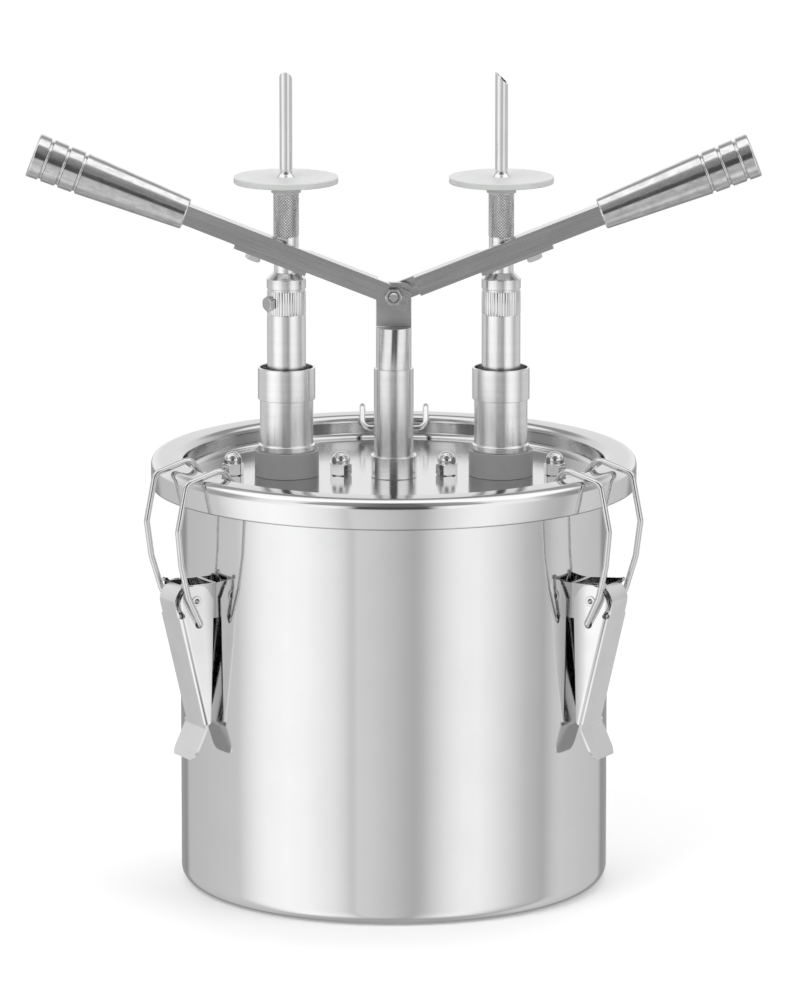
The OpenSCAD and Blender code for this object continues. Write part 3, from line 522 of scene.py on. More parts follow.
@dataclass(frozen=True)
class KnurledSteel(BrightSteel):
    """Diamond-knurled steel: bright points, with painted shade in the grooves."""

    knurls: int = 28
    nut_r: float = 6.7
    foot: float = 0.0

    def inputs(self, graph: Graph) -> dict:
        """The knurled steel's shader.

        Args:
            graph: The material's nodes.

        Returns:
            The shader's inputs.
        """
        made = super().inputs(graph)
        place = graph.coords()
        x, y, z = (graph.axis(place, name) for name in "XYZ")
        around = y.fn("ARCTAN2", x) * (self.knurls / math.tau)
        along = (z - self.foot * MM) / (math.tau * self.nut_r * MM / self.knurls)
        cuts = [((around + way * along).fn("FRACT") - 0.5).fn("ABSOLUTE") for way in (1.0, -1.0)]
        groove = (0.5 - cuts[0].fn("MINIMUM", cuts[1])) * 2.0
        # Painted shade: the grooves between the diamond points are darkened.
        made["Base Color"] = self.tinted(graph, graph.fade(groove, 0.45, 0.95), 0.66)
        return made


@dataclass(frozen=True)
class MouldedPlastic(Finish):
    """Moulded or turned plastic with a fine satin texture."""

    grain: float = 2200.0
    scatter: float = 0.0
    passes: float = 0.0

    def inputs(self, graph: Graph) -> dict:
        """The plastic's shader.

        Args:
            graph: The material's nodes.

        Returns:
            The shader's inputs.
        """
        place = graph.coords()
        fine = graph.noise(place, self.grain)
        smear = graph.noise(place, 55.0, 3.0)
        return {
            "Base Color": self.tinted(graph, smear, 0.07),
            "Roughness": smear * 0.14 + (self.roughness - 0.07),
            "Normal": graph.bump(fine, 0.3, 0.00002),
            "Subsurface Weight": self.scatter,
            "Subsurface Radius": (0.004, 0.004, 0.004),
            "Subsurface Scale": 1.0,
            "Transmission Weight": self.passes,
        }


BUCKET_STEEL = PolishedSheet("bucket_steel", (0.80, 0.80, 0.803), 0.065, anisotropic=0.4)
LID_STEEL = LidSheet("lid_steel", (0.80, 0.80, 0.803), 0.085, 0.00004, (900.0, 40.0, 40.0), 0.3)
TUBE_STEEL = TurnedSteel("turned_tube_steel", (0.92, 0.92, 0.923), 0.20, 0.00035, 0.000004, 0.8)
POST_STEEL = MilledPost("turned_post_steel", (0.82, 0.82, 0.825), 0.20, 0.0005, 0.000005, 0.7)
CAP_STEEL = TurnedSteel("turned_cap_steel", (0.84, 0.84, 0.843), 0.15, 0.0003)
GRIP_STEEL = TurnedSteel("polished_grip_steel", (0.80, 0.80, 0.803), 0.11, 0.0003, 0.000003, 0.2, 0.16)
BAR_STEEL = BrushedBar("brushed_bar_steel", (0.90, 0.90, 0.905), 0.26)
PLATE_STEEL = BrushedBar("brushed_plate_steel", (0.80, 0.80, 0.805), 0.26, 0.25, 0.2)
LATCH_STEEL = BrightSteel("latch_sheet_steel", (0.76, 0.76, 0.765), 0.15, 120.0)
LEVER_SHEET = HookedSheet("latch_lever_steel", (0.86, 0.86, 0.865), 0.13, 120.0)
WIRE_STEEL = BrightSteel("drawn_wire_steel", (0.76, 0.76, 0.765), 0.16, 400.0)
SCREW_STEEL = BrightSteel("screw_steel", (0.80, 0.80, 0.81), 0.12)
HEX_STEEL = BrightSteel("hex_head_steel", (0.58, 0.58, 0.585), 0.18, 700.0)
NUT_STEEL = BrightSteel("cap_nut_steel", (0.78, 0.78, 0.785), 0.06, 500.0)
KNURL_STEEL = KnurledSteel("knurled_steel", (0.92, 0.92, 0.925), 0.24, 600.0)
NEEDLE_STEEL = BrightSteel("needle_steel", (0.80, 0.80, 0.805), 0.08, 300.0)
GREY_PLASTIC = MouldedPlastic("grey_plastic", (0.30, 0.30, 0.303), 0.42)
WHITE_PLASTIC = MouldedPlastic("white_plastic", (0.86, 0.86, 0.85), 0.40, 1500.0, 0.3)
DISC_PLASTIC = MouldedPlastic("splash_disc_plastic", (0.68, 0.69, 0.68), 0.35, 900.0, 0.3, 0.2)
SEAL_RUBBER = MouldedPlastic("seal_rubber", (0.05, 0.05, 0.05), 0.60, 1200.0)


# Mesh tools


def at(x: float, y: float, z: float) -> Matrix:
    """A place in millimetres."""
    return Matrix.Translation(Vector((x, y, z)) * MM)


def spin(axis: str, degrees: float) -> Matrix:
    """A turn round an axis."""
    return Matrix.Rotation(math.radians(degrees), 4, axis)


def circle(angle: float, radius: float, height: float) -> Vector:
    """A point round the Z axis."""
    return Vector((radius * math.cos(angle), radius * math.sin(angle), height))


def arc(centre: Point, radius: float, start: float, end: float, steps: int = 12) -> list[Point]:
    """Points on an arc.

    Args:
        centre: The arc's centre.
        radius: The arc's radius.
        start: First angle in degrees.
        end: Last angle in degrees.
        steps: How many chords.

    Returns:
        The points from start to end.
    """
    angles = [math.radians(start + (end - start) * i / steps) for i in range(steps + 1)]
    return [(centre[0] + radius * math.cos(a), centre[1] + radius * math.sin(a)) for a in angles]


def soften(outline: Sequence[Point], radius: float, closed: bool, steps: int = 3) -> list[Point]:
    """Rounds the sharp corners of an outline.

    Args:
        outline: The outline's points.
        radius: The radius of each rounded corner.
        closed: Whether the last point joins the first.
        steps: How many chords make a corner.

    Returns:
        The outline with its corners rounded.
    """
    made: list[Point] = []
    count = len(outline)
    for i, point in enumerate(outline):
        if not closed and i in (0, count - 1):
            made.append(point)
            continue
        here = Vector(point)
        back, on = Vector(outline[i - 1]) - here, Vector(outline[(i + 1) % count]) - here
        turn = math.pi - back.angle(on)
        if turn < 0.35:
            made.append(point)
            continue
        reach = min(radius * math.tan(turn / 2), back.length * 0.45, on.length * 0.45)
        a, b = here + back.normalized() * reach, here + on.normalized() * reach
        for k in range(steps + 1):
            t = k / steps
            made.append(tuple(a * (1 - t) ** 2 + here * (2 * t * (1 - t)) + b * t * t))
    return held_flat(made, closed)


def held_flat(outline: Sequence[Point], closed: bool, reach: float = 0.1) -> list[Point]:
    """Adds a point near each end of a long run, so that smooth shading stays flat along it.

    Args:
        outline: The outline's points.
        closed: Whether the last point joins the first.
        reach: How far from the run's ends the new points are.

    Returns:
        The outline with the new points.
    """
    made: list[Point] = []
    for i, point in enumerate(outline):
        made.append(point)
        if not closed and i == len(outline) - 1:
            break
        here, there = Vector(point), Vector(outline[(i + 1) % len(outline)])
        if (there - here).length > 6 * reach:
            step = (there - here).normalized() * reach
            made += [tuple(here + step), tuple(there - step)]
    return made


def bent(points: Sequence[Vector], radii: Sequence[float], steps: int = 8) -> list[Vector]:
    """A line of straight runs with an arc at each bend.

    Args:
        points: Its corners.
        radii: The radius of the bend at each corner.
        steps: How many chords make a bend.

    Returns:
        The points of the line.
    """
    ways = [(b - a).normalized() for a, b in zip(points, points[1:])]
    made = [points[0]]
    for corner, radius, way, on in zip(points[1:], radii[1:], ways, ways[1:]):
        turn = way.angle(on)
        inward = way.cross(on).normalized().cross(way)
        start = corner - way * (radius * math.tan(turn / 2))
        for k in range(steps + 1):
            a = turn * k / steps
            made.append(start + (way * math.sin(a) + inward * (1 - math.cos(a))) * radius)
    return made + [points[-1]]


class MeshBuilder:
    """Collects points and faces in millimetres and makes one piece of them."""

    def __init__(self) -> None:
        """Starts empty."""
        self.points: list[Vector] = []
        self.faces: list[tuple[int, ...]] = []

    def ring(self, points: Sequence[Vector]) -> list[int]:
        """Adds points.

        Args:
            points: The points.

        Returns:
            Their numbers.
        """
        first = len(self.points)
        self.points.extend(points)
        return list(range(first, len(self.points)))

    def add(self, other: "MeshBuilder", place: Matrix) -> None:
        """Adds another builder's points and faces.

        Args:
            other: The other builder.
            place: Where they go, in millimetres.
        """
        first = len(self.points)
        self.points += [place @ p for p in other.points]
        self.faces += [tuple(i + first for i in face) for face in other.faces]

    def bridge(self, a: list[int], b: list[int]) -> None:
        """Joins two rings; a ring of one point is a pole.

        Args:
            a: The first ring.
            b: The second ring.
        """
        count = max(len(a), len(b))
        for k in range(count):
            n = (k + 1) % count
            if len(a) == 1:
                self.faces.append((a[0], b[k], b[n]))
            elif len(b) == 1:
                self.faces.append((a[k], b[0], a[n]))
            else:
                self.faces.append((a[k], b[k], b[n], a[n]))

    def revolve(
        self, outline: Sequence[Point], closed: bool, sides: int, shape: Optional[Shaper] = None
    ) -> None:
        """Turns an outline of radius and height round the Z axis.

        Args:
            outline: Points of radius and height.
            closed: Whether the last point joins the first.
            sides: How many sides the round has.
            shape: Gives the radius from the angle, radius and height.
        """
        angles = [math.tau * k / sides for k in range(sides)]
        rings = []
        for r, z in outline:
            if r < 1e-6:
                rings.append(self.ring([Vector((0, 0, z))]))
            else:
                rings.append(self.ring([circle(a, shape(a, r, z) if shape else r, z) for a in angles]))
        for a, b in zip(rings, rings[1:]):
            self.bridge(a, b)
        if closed:
            self.bridge(rings[-1], rings[0])

    def tube(self, path: Sequence[Vector], radius: float, sides: int) -> None:
        """A round wire along a path, with closed ends.

        Args:
            path: The points that the wire follows.
            radius: The wire's radius.
            sides: How many sides the wire has.
        """
        last = len(path) - 1
        up = Vector((1, 0, 0))
        rings = [self.ring([path[0]])]
        for i, spot in enumerate(path):
            way = (path[min(i + 1, last)] - path[max(i - 1, 0)]).normalized()
            up = (up - way * up.dot(way)).normalized()
            side = way.cross(up)
            angles = [math.tau * k / sides for k in range(sides)]
            rings.append(self.ring([spot + (up * math.cos(a) + side * math.sin(a)) * radius for a in angles]))
        rings.append(self.ring([path[-1]]))
        for a, b in zip(rings, rings[1:]):
            self.bridge(a, b)

    def piece(self, name: str, place: Matrix = HERE, sharp: float = 38.0) -> bpy.types.Object:
        """Makes the piece.

        Args:
            name: The piece's name.
            place: Where the piece goes, in metres.
            sharp: Edges that turn more than this many degrees stay sharp.

        Returns:
            The new object.
        """
        mesh = bpy.data.meshes.new(name)
        mesh.from_pydata([p * MM for p in self.points], [], self.faces)
        return finish_mesh(name, mesh, place, sharp)


def linked(name: str, data: bpy.types.ID) -> bpy.types.Object:
    """Puts new data into the scene.

    Args:
        name: The object's name.
        data: Its mesh, lamp or camera.

    Returns:
        The new object.
    """
    made = bpy.data.objects.new(name, data)
    bpy.context.scene.collection.objects.link(made)
    return made


def finish_mesh(name: str, mesh: bpy.types.Mesh, place: Matrix, sharp: float) -> bpy.types.Object:
    """Welds, turns normals outwards, smooths and links a mesh.

    Args:
        name: The piece's name.
        mesh: Its mesh.
        place: Where it goes, in metres.
        sharp: Edges that turn more than this many degrees stay sharp.

    Returns:
        The new object.
    """
    work = bmesh.new()
    work.from_mesh(mesh)
    bmesh.ops.remove_doubles(work, verts=work.verts, dist=1e-7)
    bmesh.ops.recalc_face_normals(work, faces=work.faces)
    work.to_mesh(mesh)
    work.free()
    mesh.shade_smooth()
    mesh.set_sharp_from_angle(angle=math.radians(sharp))
    piece = linked(name, mesh)
    piece.matrix_world = place
    return piece


def eased(node: str, name: str, edge: float, place: Matrix, sharp: float = 32.0) -> bpy.types.Object:
    """A copy of a CAD solid's surface with its flats merged and its edges eased.

    Args:
        node: The CAD node.
        name: The new piece's name.
        edge: The width of the eased edges, in millimetres.
        place: The frame that the new piece is measured in.
        sharp: Edges that turn more than this many degrees are eased.

    Returns:
        The new object.
    """
    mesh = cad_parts[node].data.copy()
    mesh.name = name
    mesh.transform(place.inverted())
    work = bmesh.new()
    work.from_mesh(mesh)
    bmesh.ops.remove_doubles(work, verts=work.verts, dist=2e-6)
    bmesh.ops.dissolve_limit(work, angle_limit=math.radians(0.6), verts=work.verts, edges=work.edges)
    work.to_mesh(mesh)
    work.free()
    piece = finish_mesh(name, mesh, place, sharp)
    bevel = piece.modifiers.new("eased_edges", "BEVEL")
    bevel.width = edge * MM
    bevel.segments = 2
    bevel.limit_method = "ANGLE"
    bevel.angle_limit = math.radians(sharp)
    bevel.use_clamp_overlap = True
    bevel.harden_normals = True
    bevel.miter_outer = "MITER_ARC"
    return piece


def paint(target: bpy.types.Object, finish: Finish) -> None:
    """Gives an object a finish."""
    target.data.materials.clear()
    target.data.materials.append(finish.build())


def dress(piece: bpy.types.Object, finish: Finish, body: str, slot: str, node: str) -> None:
    """Gives a piece its finish and its body, and hides the CAD node that it stands for.

    Args:
        piece: The piece.
        finish: Its finish.
        body: The CAD body it rides on.
        slot: A material slot's name; not used.
        node: The CAD node that it replaces.
    """
    paint(piece, finish)
    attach(piece, body)
    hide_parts(node)
    LOG.info("piece %s rides on %s and wears %s", piece.name, body, finish.name)


def paint_node(node: str, finish: Finish) -> None:
    """Gives a CAD node that stays a finish."""
    paint(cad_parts[node], finish)
    LOG.info("node %s wears %s", node, finish.name)


def hex_shape(flats: float, face_r: float, low: float, high: float) -> Shaper:
    """The radius of a hexagon whose corners are turned off at both ends.

    Args:
        flats: Width across the flats.
        face_r: Radius of the round face at the ends.
        low: Height of the lower end.
        high: Height of the upper end.

    Returns:
        A function of angle, radius and height.
    """

    def radius(angle: float, r: float, z: float) -> float:
        """The hexagon's radius.

        Args:
            angle: The angle round it.
            r: The outline's radius.
            z: The height.

        Returns:
            The radius, scaled as the outline is.
        """
        hexagon = flats / 2 / math.cos((angle % (math.pi / 3)) - math.pi / 6)
        cone = face_r + min(z - low, high - z) / math.tan(math.radians(30))
        return min(hexagon, cone) * (r / (flats / 2))

    return radius


def hex_block(
    flats: float, low: float, high: float, both: bool = False, bore: float = 0.0, sink: float = 0.5
) -> MeshBuilder:
    """A hexagonal block along Z with turned corners.

    Args:
        flats: Width across the flats.
        low: Height of the lower end.
        high: Height of the upper end.
        both: Whether the lower end is turned too.
        bore: Radius of a countersunk hole through it, or 0.
        sink: Depth of the countersink.

    Returns:
        A builder that holds the block.
    """
    builder = MeshBuilder()
    half = flats / 2
    face = half * 0.95
    rise = (half / math.cos(math.pi / 6) - face) * math.tan(math.radians(30))
    base = low if both else low - 2 * rise
    steps = [low + rise * i / 5 for i in range(6)] + [high - rise * (5 - i) / 5 for i in range(6)]
    wall = [(half, z) for z in steps]
    shape = hex_shape(flats, face, base, high)
    if bore:
        outline = [(bore, low), (bore + 0.3, low)] + wall + [(bore + sink, high), (bore, high - sink)]
        builder.revolve(outline, True, 96, lambda a, r, z: shape(a, r, z) if r > half - 0.01 else r)
    else:
        builder.revolve([(0.0, low)] + wall + [(0.0, high)], False, 96, shape)
    return builder


# Sub-assemblies


@dataclass(kw_only=True)
class Machine:
    """The sizes that several sub-assemblies share, in millimetres."""

    plate_z: float = 211.0
    rim_rise: float = 11.8
    lid_r: float = 124.7
    shoulder_r: float = 5.0
    lip_r: float = 4.0
    recess_r: float = 107.4
    pump_x: float = 55.0
    pump_y: float = 4.5
    pivot_h: float = 94.5
    hinge_r: float = 121.5
    hinge_z: float = 160.0
    side_fit: float = 0.2
    seam: float = 0.05

    @property
    def rim_z(self) -> float:
        """Height of the lid's rim."""
        return self.plate_z + self.rim_rise


@dataclass
class BucketAndLid(Machine):
    """The round bucket and the pressed lid, in millimetres."""

    bucket_r: float = 110.0
    wall: float = 0.8
    corner_r: float = 8.0
    flange_r: float = 120.0
    bend_r: float = 2.5
    roll_r: float = 2.0
    flat_r: float = 60.0
    lid_t: float = 1.2
    skirt_h: float = 15.5
    foot_r: float = 3.0
    gasket_t: float = 3.0
    sides: int = 320

    def bucket(self) -> None:
        """Builds the bucket: rounded foot, wall, turned-out flange and rolled edge."""
        flange_z = self.rim_z - self.lid_t - self.gasket_t
        neck = flange_z - self.wall - self.bend_r
        foot = (self.bucket_r - self.corner_r, self.corner_r)
        bend = (self.bucket_r + self.bend_r, neck)
        outline = [(0.0, 0.0)]
        outline += arc(foot, self.corner_r, -90, 0, 16)
        outline += [(self.bucket_r, self.corner_r + (neck - self.corner_r) * i / 12) for i in range(1, 12)]
        outline += arc(bend, self.bend_r, 180, 90, 8)
        outline += [(self.flange_r, flange_z - self.wall), (self.flange_r, flange_z)]
        outline += arc(bend, self.bend_r + self.wall, 90, 180, 8)
        outline += arc(foot, self.corner_r - self.wall, 0, -90, 12) + [(0.0, self.wall)]
        roll = arc((self.flange_r, flange_z - self.roll_r), self.roll_r, 0, 345, 23)
        builder = MeshBuilder()
        builder.revolve(outline, False, self.sides)
        builder.revolve(roll, True, self.sides)
        dress(builder.piece("bucket_shell"), BUCKET_STEEL, "base", "bucket_steel", "bucket")

    def lid(self) -> None:
        """Builds the lid: flat plate, recess wall, rim and skirt."""
        rim = self.rim_z
        low = rim - self.skirt_h
        foot = (self.recess_r - self.foot_r, self.plate_z + self.foot_r)
        lip = (self.recess_r + self.lip_r, rim - self.lip_r)
        shoulder = (self.lid_r - self.shoulder_r, rim - self.shoulder_r)
        t = self.lid_t
        under = self.plate_z - t
        outline = [(0.0, self.plate_z), (self.flat_r, self.plate_z)]
        outline += arc(foot, self.foot_r, -90, 0, 10) + arc(lip, self.lip_r, 180, 90, 12)
        outline += arc(shoulder, self.shoulder_r, 90, 0, 14)
        outline += arc((self.lid_r - t / 2, low + t / 2), t / 2, 0, -180, 6)
        outline += arc(shoulder, self.shoulder_r - t, 0, 90, 10) + arc(lip, self.lip_r - t, 90, 180, 8)
        outline += arc(foot, self.foot_r + t, 0, -90, 10) + [(self.flat_r, under), (0.0, under)]
        builder = MeshBuilder()
        builder.revolve(outline, False, self.sides)
        dress(builder.piece("lid_shell"), LID_STEEL, "base", "lid_steel", "lid")

    def build(self) -> None:
        """Builds both and paints the sealing ring between them."""
        self.bucket()
        self.lid()
        paint_node("lid_gasket", WHITE_PLASTIC)


@dataclass
class Pump(Machine):
    """One pump: its fixed barrel and its moving piston, heights above the lid's plate."""

    side: Side
    barrel_r: float = 13.65
    bore_r: float = 11.65
    barrel_h: float = 39.8
    barrel_low: float = -180.0
    collar_r: float = 14.7
    collar_in: float = 13.6
    collar_h: float = 16.5
    collar_floor: float = 1.2
    foot_collar_r: float = 14.5
    foot_collar_h: float = 3.9
    ring_r: float = 16.5
    ring_h: float = 12.6
    ring_lip: float = 0.7
    ring_fit: float = 0.15
    lip_rise: float = 0.6
    rod_r: float = 9.9
    rod_wall: float = 1.5
    rod_out: float = 27.7
    rod_in: float = 112.0
    cap_r: float = 10.0
    cap_in: float = 8.0
    flute_h: float = 12.3
    flute_end: float = 0.45
    flute_depth: float = 0.22
    flutes: int = 40
    smooth_h: float = 6.0
    groove_w: float = 1.0
    groove_depth: float = 0.5
    cone_h: float = 3.4
    screw_flats: float = 7.0
    screw_head: float = 2.8
    shank_r: float = 2.0
    shank_in: float = 3.0
    stem_r: float = 6.3
    stem_bore_r: float = 4.0
    stem_in: float = 2.0
    stem_h: float = 18.3
    nut_r: float = 6.7
    nut_h: float = 22.6
    knurls: int = 28
    hub_r: float = 7.6
    hub_h: float = 6.0
    disc_r: float = 26.75
    disc_t: float = 2.4
    disc_drop: float = 0.9
    needle_r: float = 3.2
    needle_wall: float = 0.7
    needle_in: float = 16.0
    needle_h: float = 53.8
    needle_cut: float = 45.0
    flange_r: float = 5.0
    flange_h: float = 1.8
    spring_r: float = 9.4
    spring_wire: float = 0.8
    spring_low: float = 44.11
    spring_high: float = 121.69
    spring_turns: int = 9
    spring_steps: int = 32
    stroke: float = 23.0
    needle_bearings: Point = (80.0, -8.0)
    screw_bearings: Point = (218.0, 60.0)

    @property
    def tag(self) -> str:
        """The side's word in the names of the pieces."""
        return self.side.value

    @property
    def place(self) -> Matrix:
        """The pump's axis on the lid's plate."""
        return at(self.side.sign * self.pump_x, self.pump_y, self.plate_z)

    @property
    def rod_top(self) -> float:
        """Height of the piston tube's top."""
        return self.barrel_h + self.collar_h + self.rod_out

    @property
    def nut_z(self) -> float:
        """Height of the nozzle nut's foot."""
        return self.rod_top + self.flute_h + self.smooth_h + self.cone_h + self.stem_h

    @property
    def disc_z(self) -> float:
        """Height of the disc's underside."""
        return self.nut_z + self.nut_h + self.hub_h

    def turned(self, name: str, outline: Sequence[Point], edge: float, sides: int = 128) -> bpy.types.Object:
        """Makes a turned piece on the pump's axis.

        Args:
            name: The piece's name without its side.
            outline: Its closed outline of radius and height.
            edge: The radius of its corners.
            sides: How many sides its round has.

        Returns:
            The piece.
        """
        builder = MeshBuilder()
        builder.revolve(soften(outline, edge, True), True, sides)
        return builder.piece(f"{name}_{self.tag}", self.place)

    def wear(
        self,
        piece: bpy.types.Object,
        finish: Finish,
        node: str,
        slot: str = "turned_steel",
        moves: bool = True,
    ) -> None:
        """slot: The material slot's name.
            moves: Whether it rides on the piston, not on the base.
        """
        dress(piece, finish, f"{self.tag}_piston" if moves else "base", slot, f"{node}_{self.tag}")

    def barrel(self) -> None:
        """Builds the barrel with its open collar, and the grey ring round its foot."""
        top = self.barrel_h + self.collar_h
        step = self.ring_h + self.foot_collar_h
        floor = self.barrel_h + self.collar_floor
        outline = [
            (self.bore_r, self.barrel_low), (self.barrel_r, self.barrel_low),
            (self.barrel_r, self.ring_h), (self.foot_collar_r, self.ring_h + 0.1),
            (self.foot_collar_r, step - 0.5), (self.barrel_r + 0.1, step),
            (self.barrel_r, step + 0.3), (self.barrel_r, self.barrel_h),
            (self.collar_r, self.barrel_h), (self.collar_r, top), (self.collar_in, top),
            (self.collar_in, floor), (self.bore_r, floor),
        ]
        self.wear(self.turned("pump_barrel", outline, 0.25, 160), TUBE_STEEL, "barrel", moves=False)
        inner, lip = self.ring_r - self.ring_lip, self.ring_h + self.lip_rise
        fit = self.barrel_r + self.ring_fit
        ring = [(fit, 0.0), (self.ring_r, 0.0), (self.ring_r, lip), (inner, lip),
                (inner - 0.25, self.ring_h), (fit, self.ring_h)]
        piece = self.turned("grey_foot_ring", ring, 0.3, 160)
        self.wear(piece, GREY_PLASTIC, "pump_base_ring", "grey_plastic", False)

    def piston(self) -> None:
        """Builds the piston tube, its knurled cap and the stem."""
        bore, low, top = self.rod_r - self.rod_wall, self.barrel_h - self.rod_in, self.rod_top
        tube = [(bore, low), (self.rod_r, low), (self.rod_r, top), (bore, top)]
        self.wear(self.turned("piston_sleeve", tube, 0.2), TUBE_STEEL, "piston_tube")
        self.wear(self.cap(), CAP_STEEL, "piston_cap")
        low, top = top + self.stem_in, self.nut_z
        stem = [(self.stem_bore_r, low), (self.stem_r, low), (self.stem_r, top), (self.stem_bore_r, top)]
        self.wear(self.turned("delivery_stem", stem, 0.25), TUBE_STEEL, "stem")

    def cap(self) -> bpy.types.Object:
        """Builds the cap: straight knurl, groove, smooth band and cone.

        Returns:
            The cap.
        """
        z, r = self.rod_top, self.cap_r
        groove = z + self.flute_h
        cone = groove + self.smooth_h
        rows = [z, z + self.flute_end, groove - self.flute_end, groove]

        def shape(angle: float, radius: float, height: float) -> float:
            """Straight knurl between the rows, turned off at both of its ends.

            Args:
                angle: The angle round the cap.
                radius: The outline's radius.
                height: The height.

            Returns:
                The knurl's radius.
            """
            if radius < r - 0.01 or not rows[0] - 1e-6 <= height <= rows[3] + 1e-6:
                return radius
            if height in (rows[0], rows[3]):
                return radius - self.flute_depth
            return radius - self.flute_depth * 1.25 * (1 - abs(math.sin(angle * self.flutes / 2))) ** 0.8

        bore, tight = self.rod_r - self.rod_wall, self.stem_r + self.seam
        outline = [(tight, z - self.cap_in), (bore, z - self.cap_in), (bore, z)] + [(r, h) for h in rows]
        outline += soften(
            [(r - self.groove_depth, groove), (r - self.groove_depth, groove + self.groove_w),
             (r, groove + self.groove_w), (r, cone), (self.stem_r + 0.3, cone + self.cone_h),
             (tight, cone + self.cone_h)], 0.25, False,
        )
        builder = MeshBuilder()
        builder.revolve(outline, True, self.flutes * 10, shape)
        return builder.piece(f"knurled_cap_{self.tag}", self.place)

    def cap_screw(self) -> None:
        """Builds the hex screw in the cap's knurled band."""
        builder = hex_block(self.screw_flats, 0.0, self.screw_head)
        shank = [(0.0, -self.shank_in), (self.shank_r, -self.shank_in), (self.shank_r, 0.1), (0.0, 0.1)]
        builder.revolve(soften(shank, 0.1, False), False, 32)
        turn = spin("Z", self.screw_bearings[self.side.number])
        spot = self.place @ at(0, 0, self.rod_top + self.flute_h / 2) @ turn @ at(self.cap_r, 0, 0)
        piece = builder.piece(f"cap_hex_screw_{self.tag}", spot @ spin("Y", 90), 25.0)
        self.wear(piece, HEX_STEEL, "cap_screw", "fastener_steel")

    def nozzle_nut(self) -> None:
        """Builds the diamond-knurled nut that holds the needle."""
        low, high = self.nut_z, self.nut_z + self.nut_h
        pitch = math.tau * self.nut_r / self.knurls
        rows = int(self.nut_h / pitch * 8)

        def shape(angle: float, radius: float, height: float) -> float:
            """Diamond points that two crossing helices leave.

            Args:
                angle: The angle round the nut.
                radius: The outline's radius.
                height: The height.

            Returns:
                The knurl's radius.
            """
            if radius < self.nut_r - 0.01:
                return radius
            edge = min(1.0, min(height - low, high - height) / 0.7)
            around = angle * self.knurls / math.tau
            along = (height - low) / pitch
            cuts = (abs(((around + along) % 1) - 0.5), abs(((around - along) % 1) - 0.5))
            return radius - (0.5 - min(cuts)) * 0.9 * edge - 0.35 * (1 - edge)

        bore = self.needle_r + self.seam
        wall = [(self.nut_r, low + self.nut_h * i / rows) for i in range(rows + 1)]
        builder = MeshBuilder()
        builder.revolve([(bore, low)] + wall + [(bore, high)], True, self.knurls * 8, shape)
        piece = builder.piece(f"knurled_nut_{self.tag}", self.place, 25.0)
        finish = replace(KNURL_STEEL, knurls=self.knurls, nut_r=self.nut_r, foot=self.nut_z)
        self.wear(piece, finish, "nozzle_nut", "nut_steel")

    def splash_disc(self) -> None:
        """Builds the white disc with its hub."""
        low, bore = self.nut_z + self.nut_h, self.needle_r + self.seam
        under, top = self.disc_z - self.disc_drop, self.disc_z + self.disc_t
        outline = [(bore, low), (self.hub_r, low), (self.hub_r, under), (self.disc_r, under),
                   (self.disc_r, top), (bore, top)]
        piece = self.turned("white_splash_disc", outline, 0.5, 192)
        self.wear(piece, DISC_PLASTIC, "splash_disc", "white_plastic")

    def needle(self) -> None:
        """Builds the hollow needle with its flared foot and slanted tip."""
        foot, r = self.disc_z + self.disc_t, self.needle_r
        low, tip = self.nut_z + self.needle_in, foot + self.needle_h
        cut = math.tan(math.radians(self.needle_cut))
        angles = [math.tau * k / 64 for k in range(64)]
        builder = MeshBuilder()
        flare = [(self.flange_r, foot), (r + 0.6, foot + self.flange_h * 0.8),
                 (r, foot + self.flange_h * 1.4), (r, foot + 4)]
        outer = [(r, low), (r, foot - 0.01), (self.flange_r, foot - 0.01)] + soften(flare, 0.8, False)
        inner = r - self.needle_wall
        rings = [builder.ring([circle(a, q, z) for a in angles]) for q, z in outer]
        for q in (r, r - 0.08, inner + 0.08, inner):
            rings.append(builder.ring([circle(a, q, tip - (q * math.cos(a) + r) * cut) for a in angles]))
        rings.append(builder.ring([circle(a, inner, low) for a in angles]))
        for a, b in zip(rings, rings[1:] + rings[:1]):
            builder.bridge(a, b)
        turn = spin("Z", self.needle_bearings[self.side.number])
        self.wear(builder.piece(f"hollow_needle_{self.tag}", self.place @ turn), NEEDLE_STEEL, "needle")

    def return_spring(self) -> None:
        """Winds the return spring, which the piston presses together in the pump; here it keeps its wound
        length.
        """
        count = self.spring_turns * self.spring_steps
        rise = (self.spring_high - self.spring_low) / count
        path = [
            circle(math.tau * i / self.spring_steps, self.spring_r, self.spring_low + rise * i)
            for i in range(count + 1)
        ]
        builder = MeshBuilder()
        builder.tube(path, self.spring_wire, 12)
        spot = at(self.side.sign * self.pump_x, self.pump_y, 0)
        piece = builder.piece(f"wound_spring_{self.tag}", spot, 60.0)
        self.wear(piece, WIRE_STEEL, "return_spring", "spring_steel", False)
        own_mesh(piece)

    def build(self) -> None:
        """Builds the pump and paints its inner parts."""
        self.return_spring()
        self.barrel()
        self.piston()
        self.cap_screw()
        self.nozzle_nut()
        self.splash_disc()
        self.needle()
        for node, finish in (
            ("pump_flange", PLATE_STEEL), ("strainer_foot", TUBE_STEEL), ("piston_head", WHITE_PLASTIC),
            ("piston_seal", SEAL_RUBBER), ("outlet_ball", SCREW_STEEL),
        ):
            paint_node(f"{node}_{self.tag}", finish)


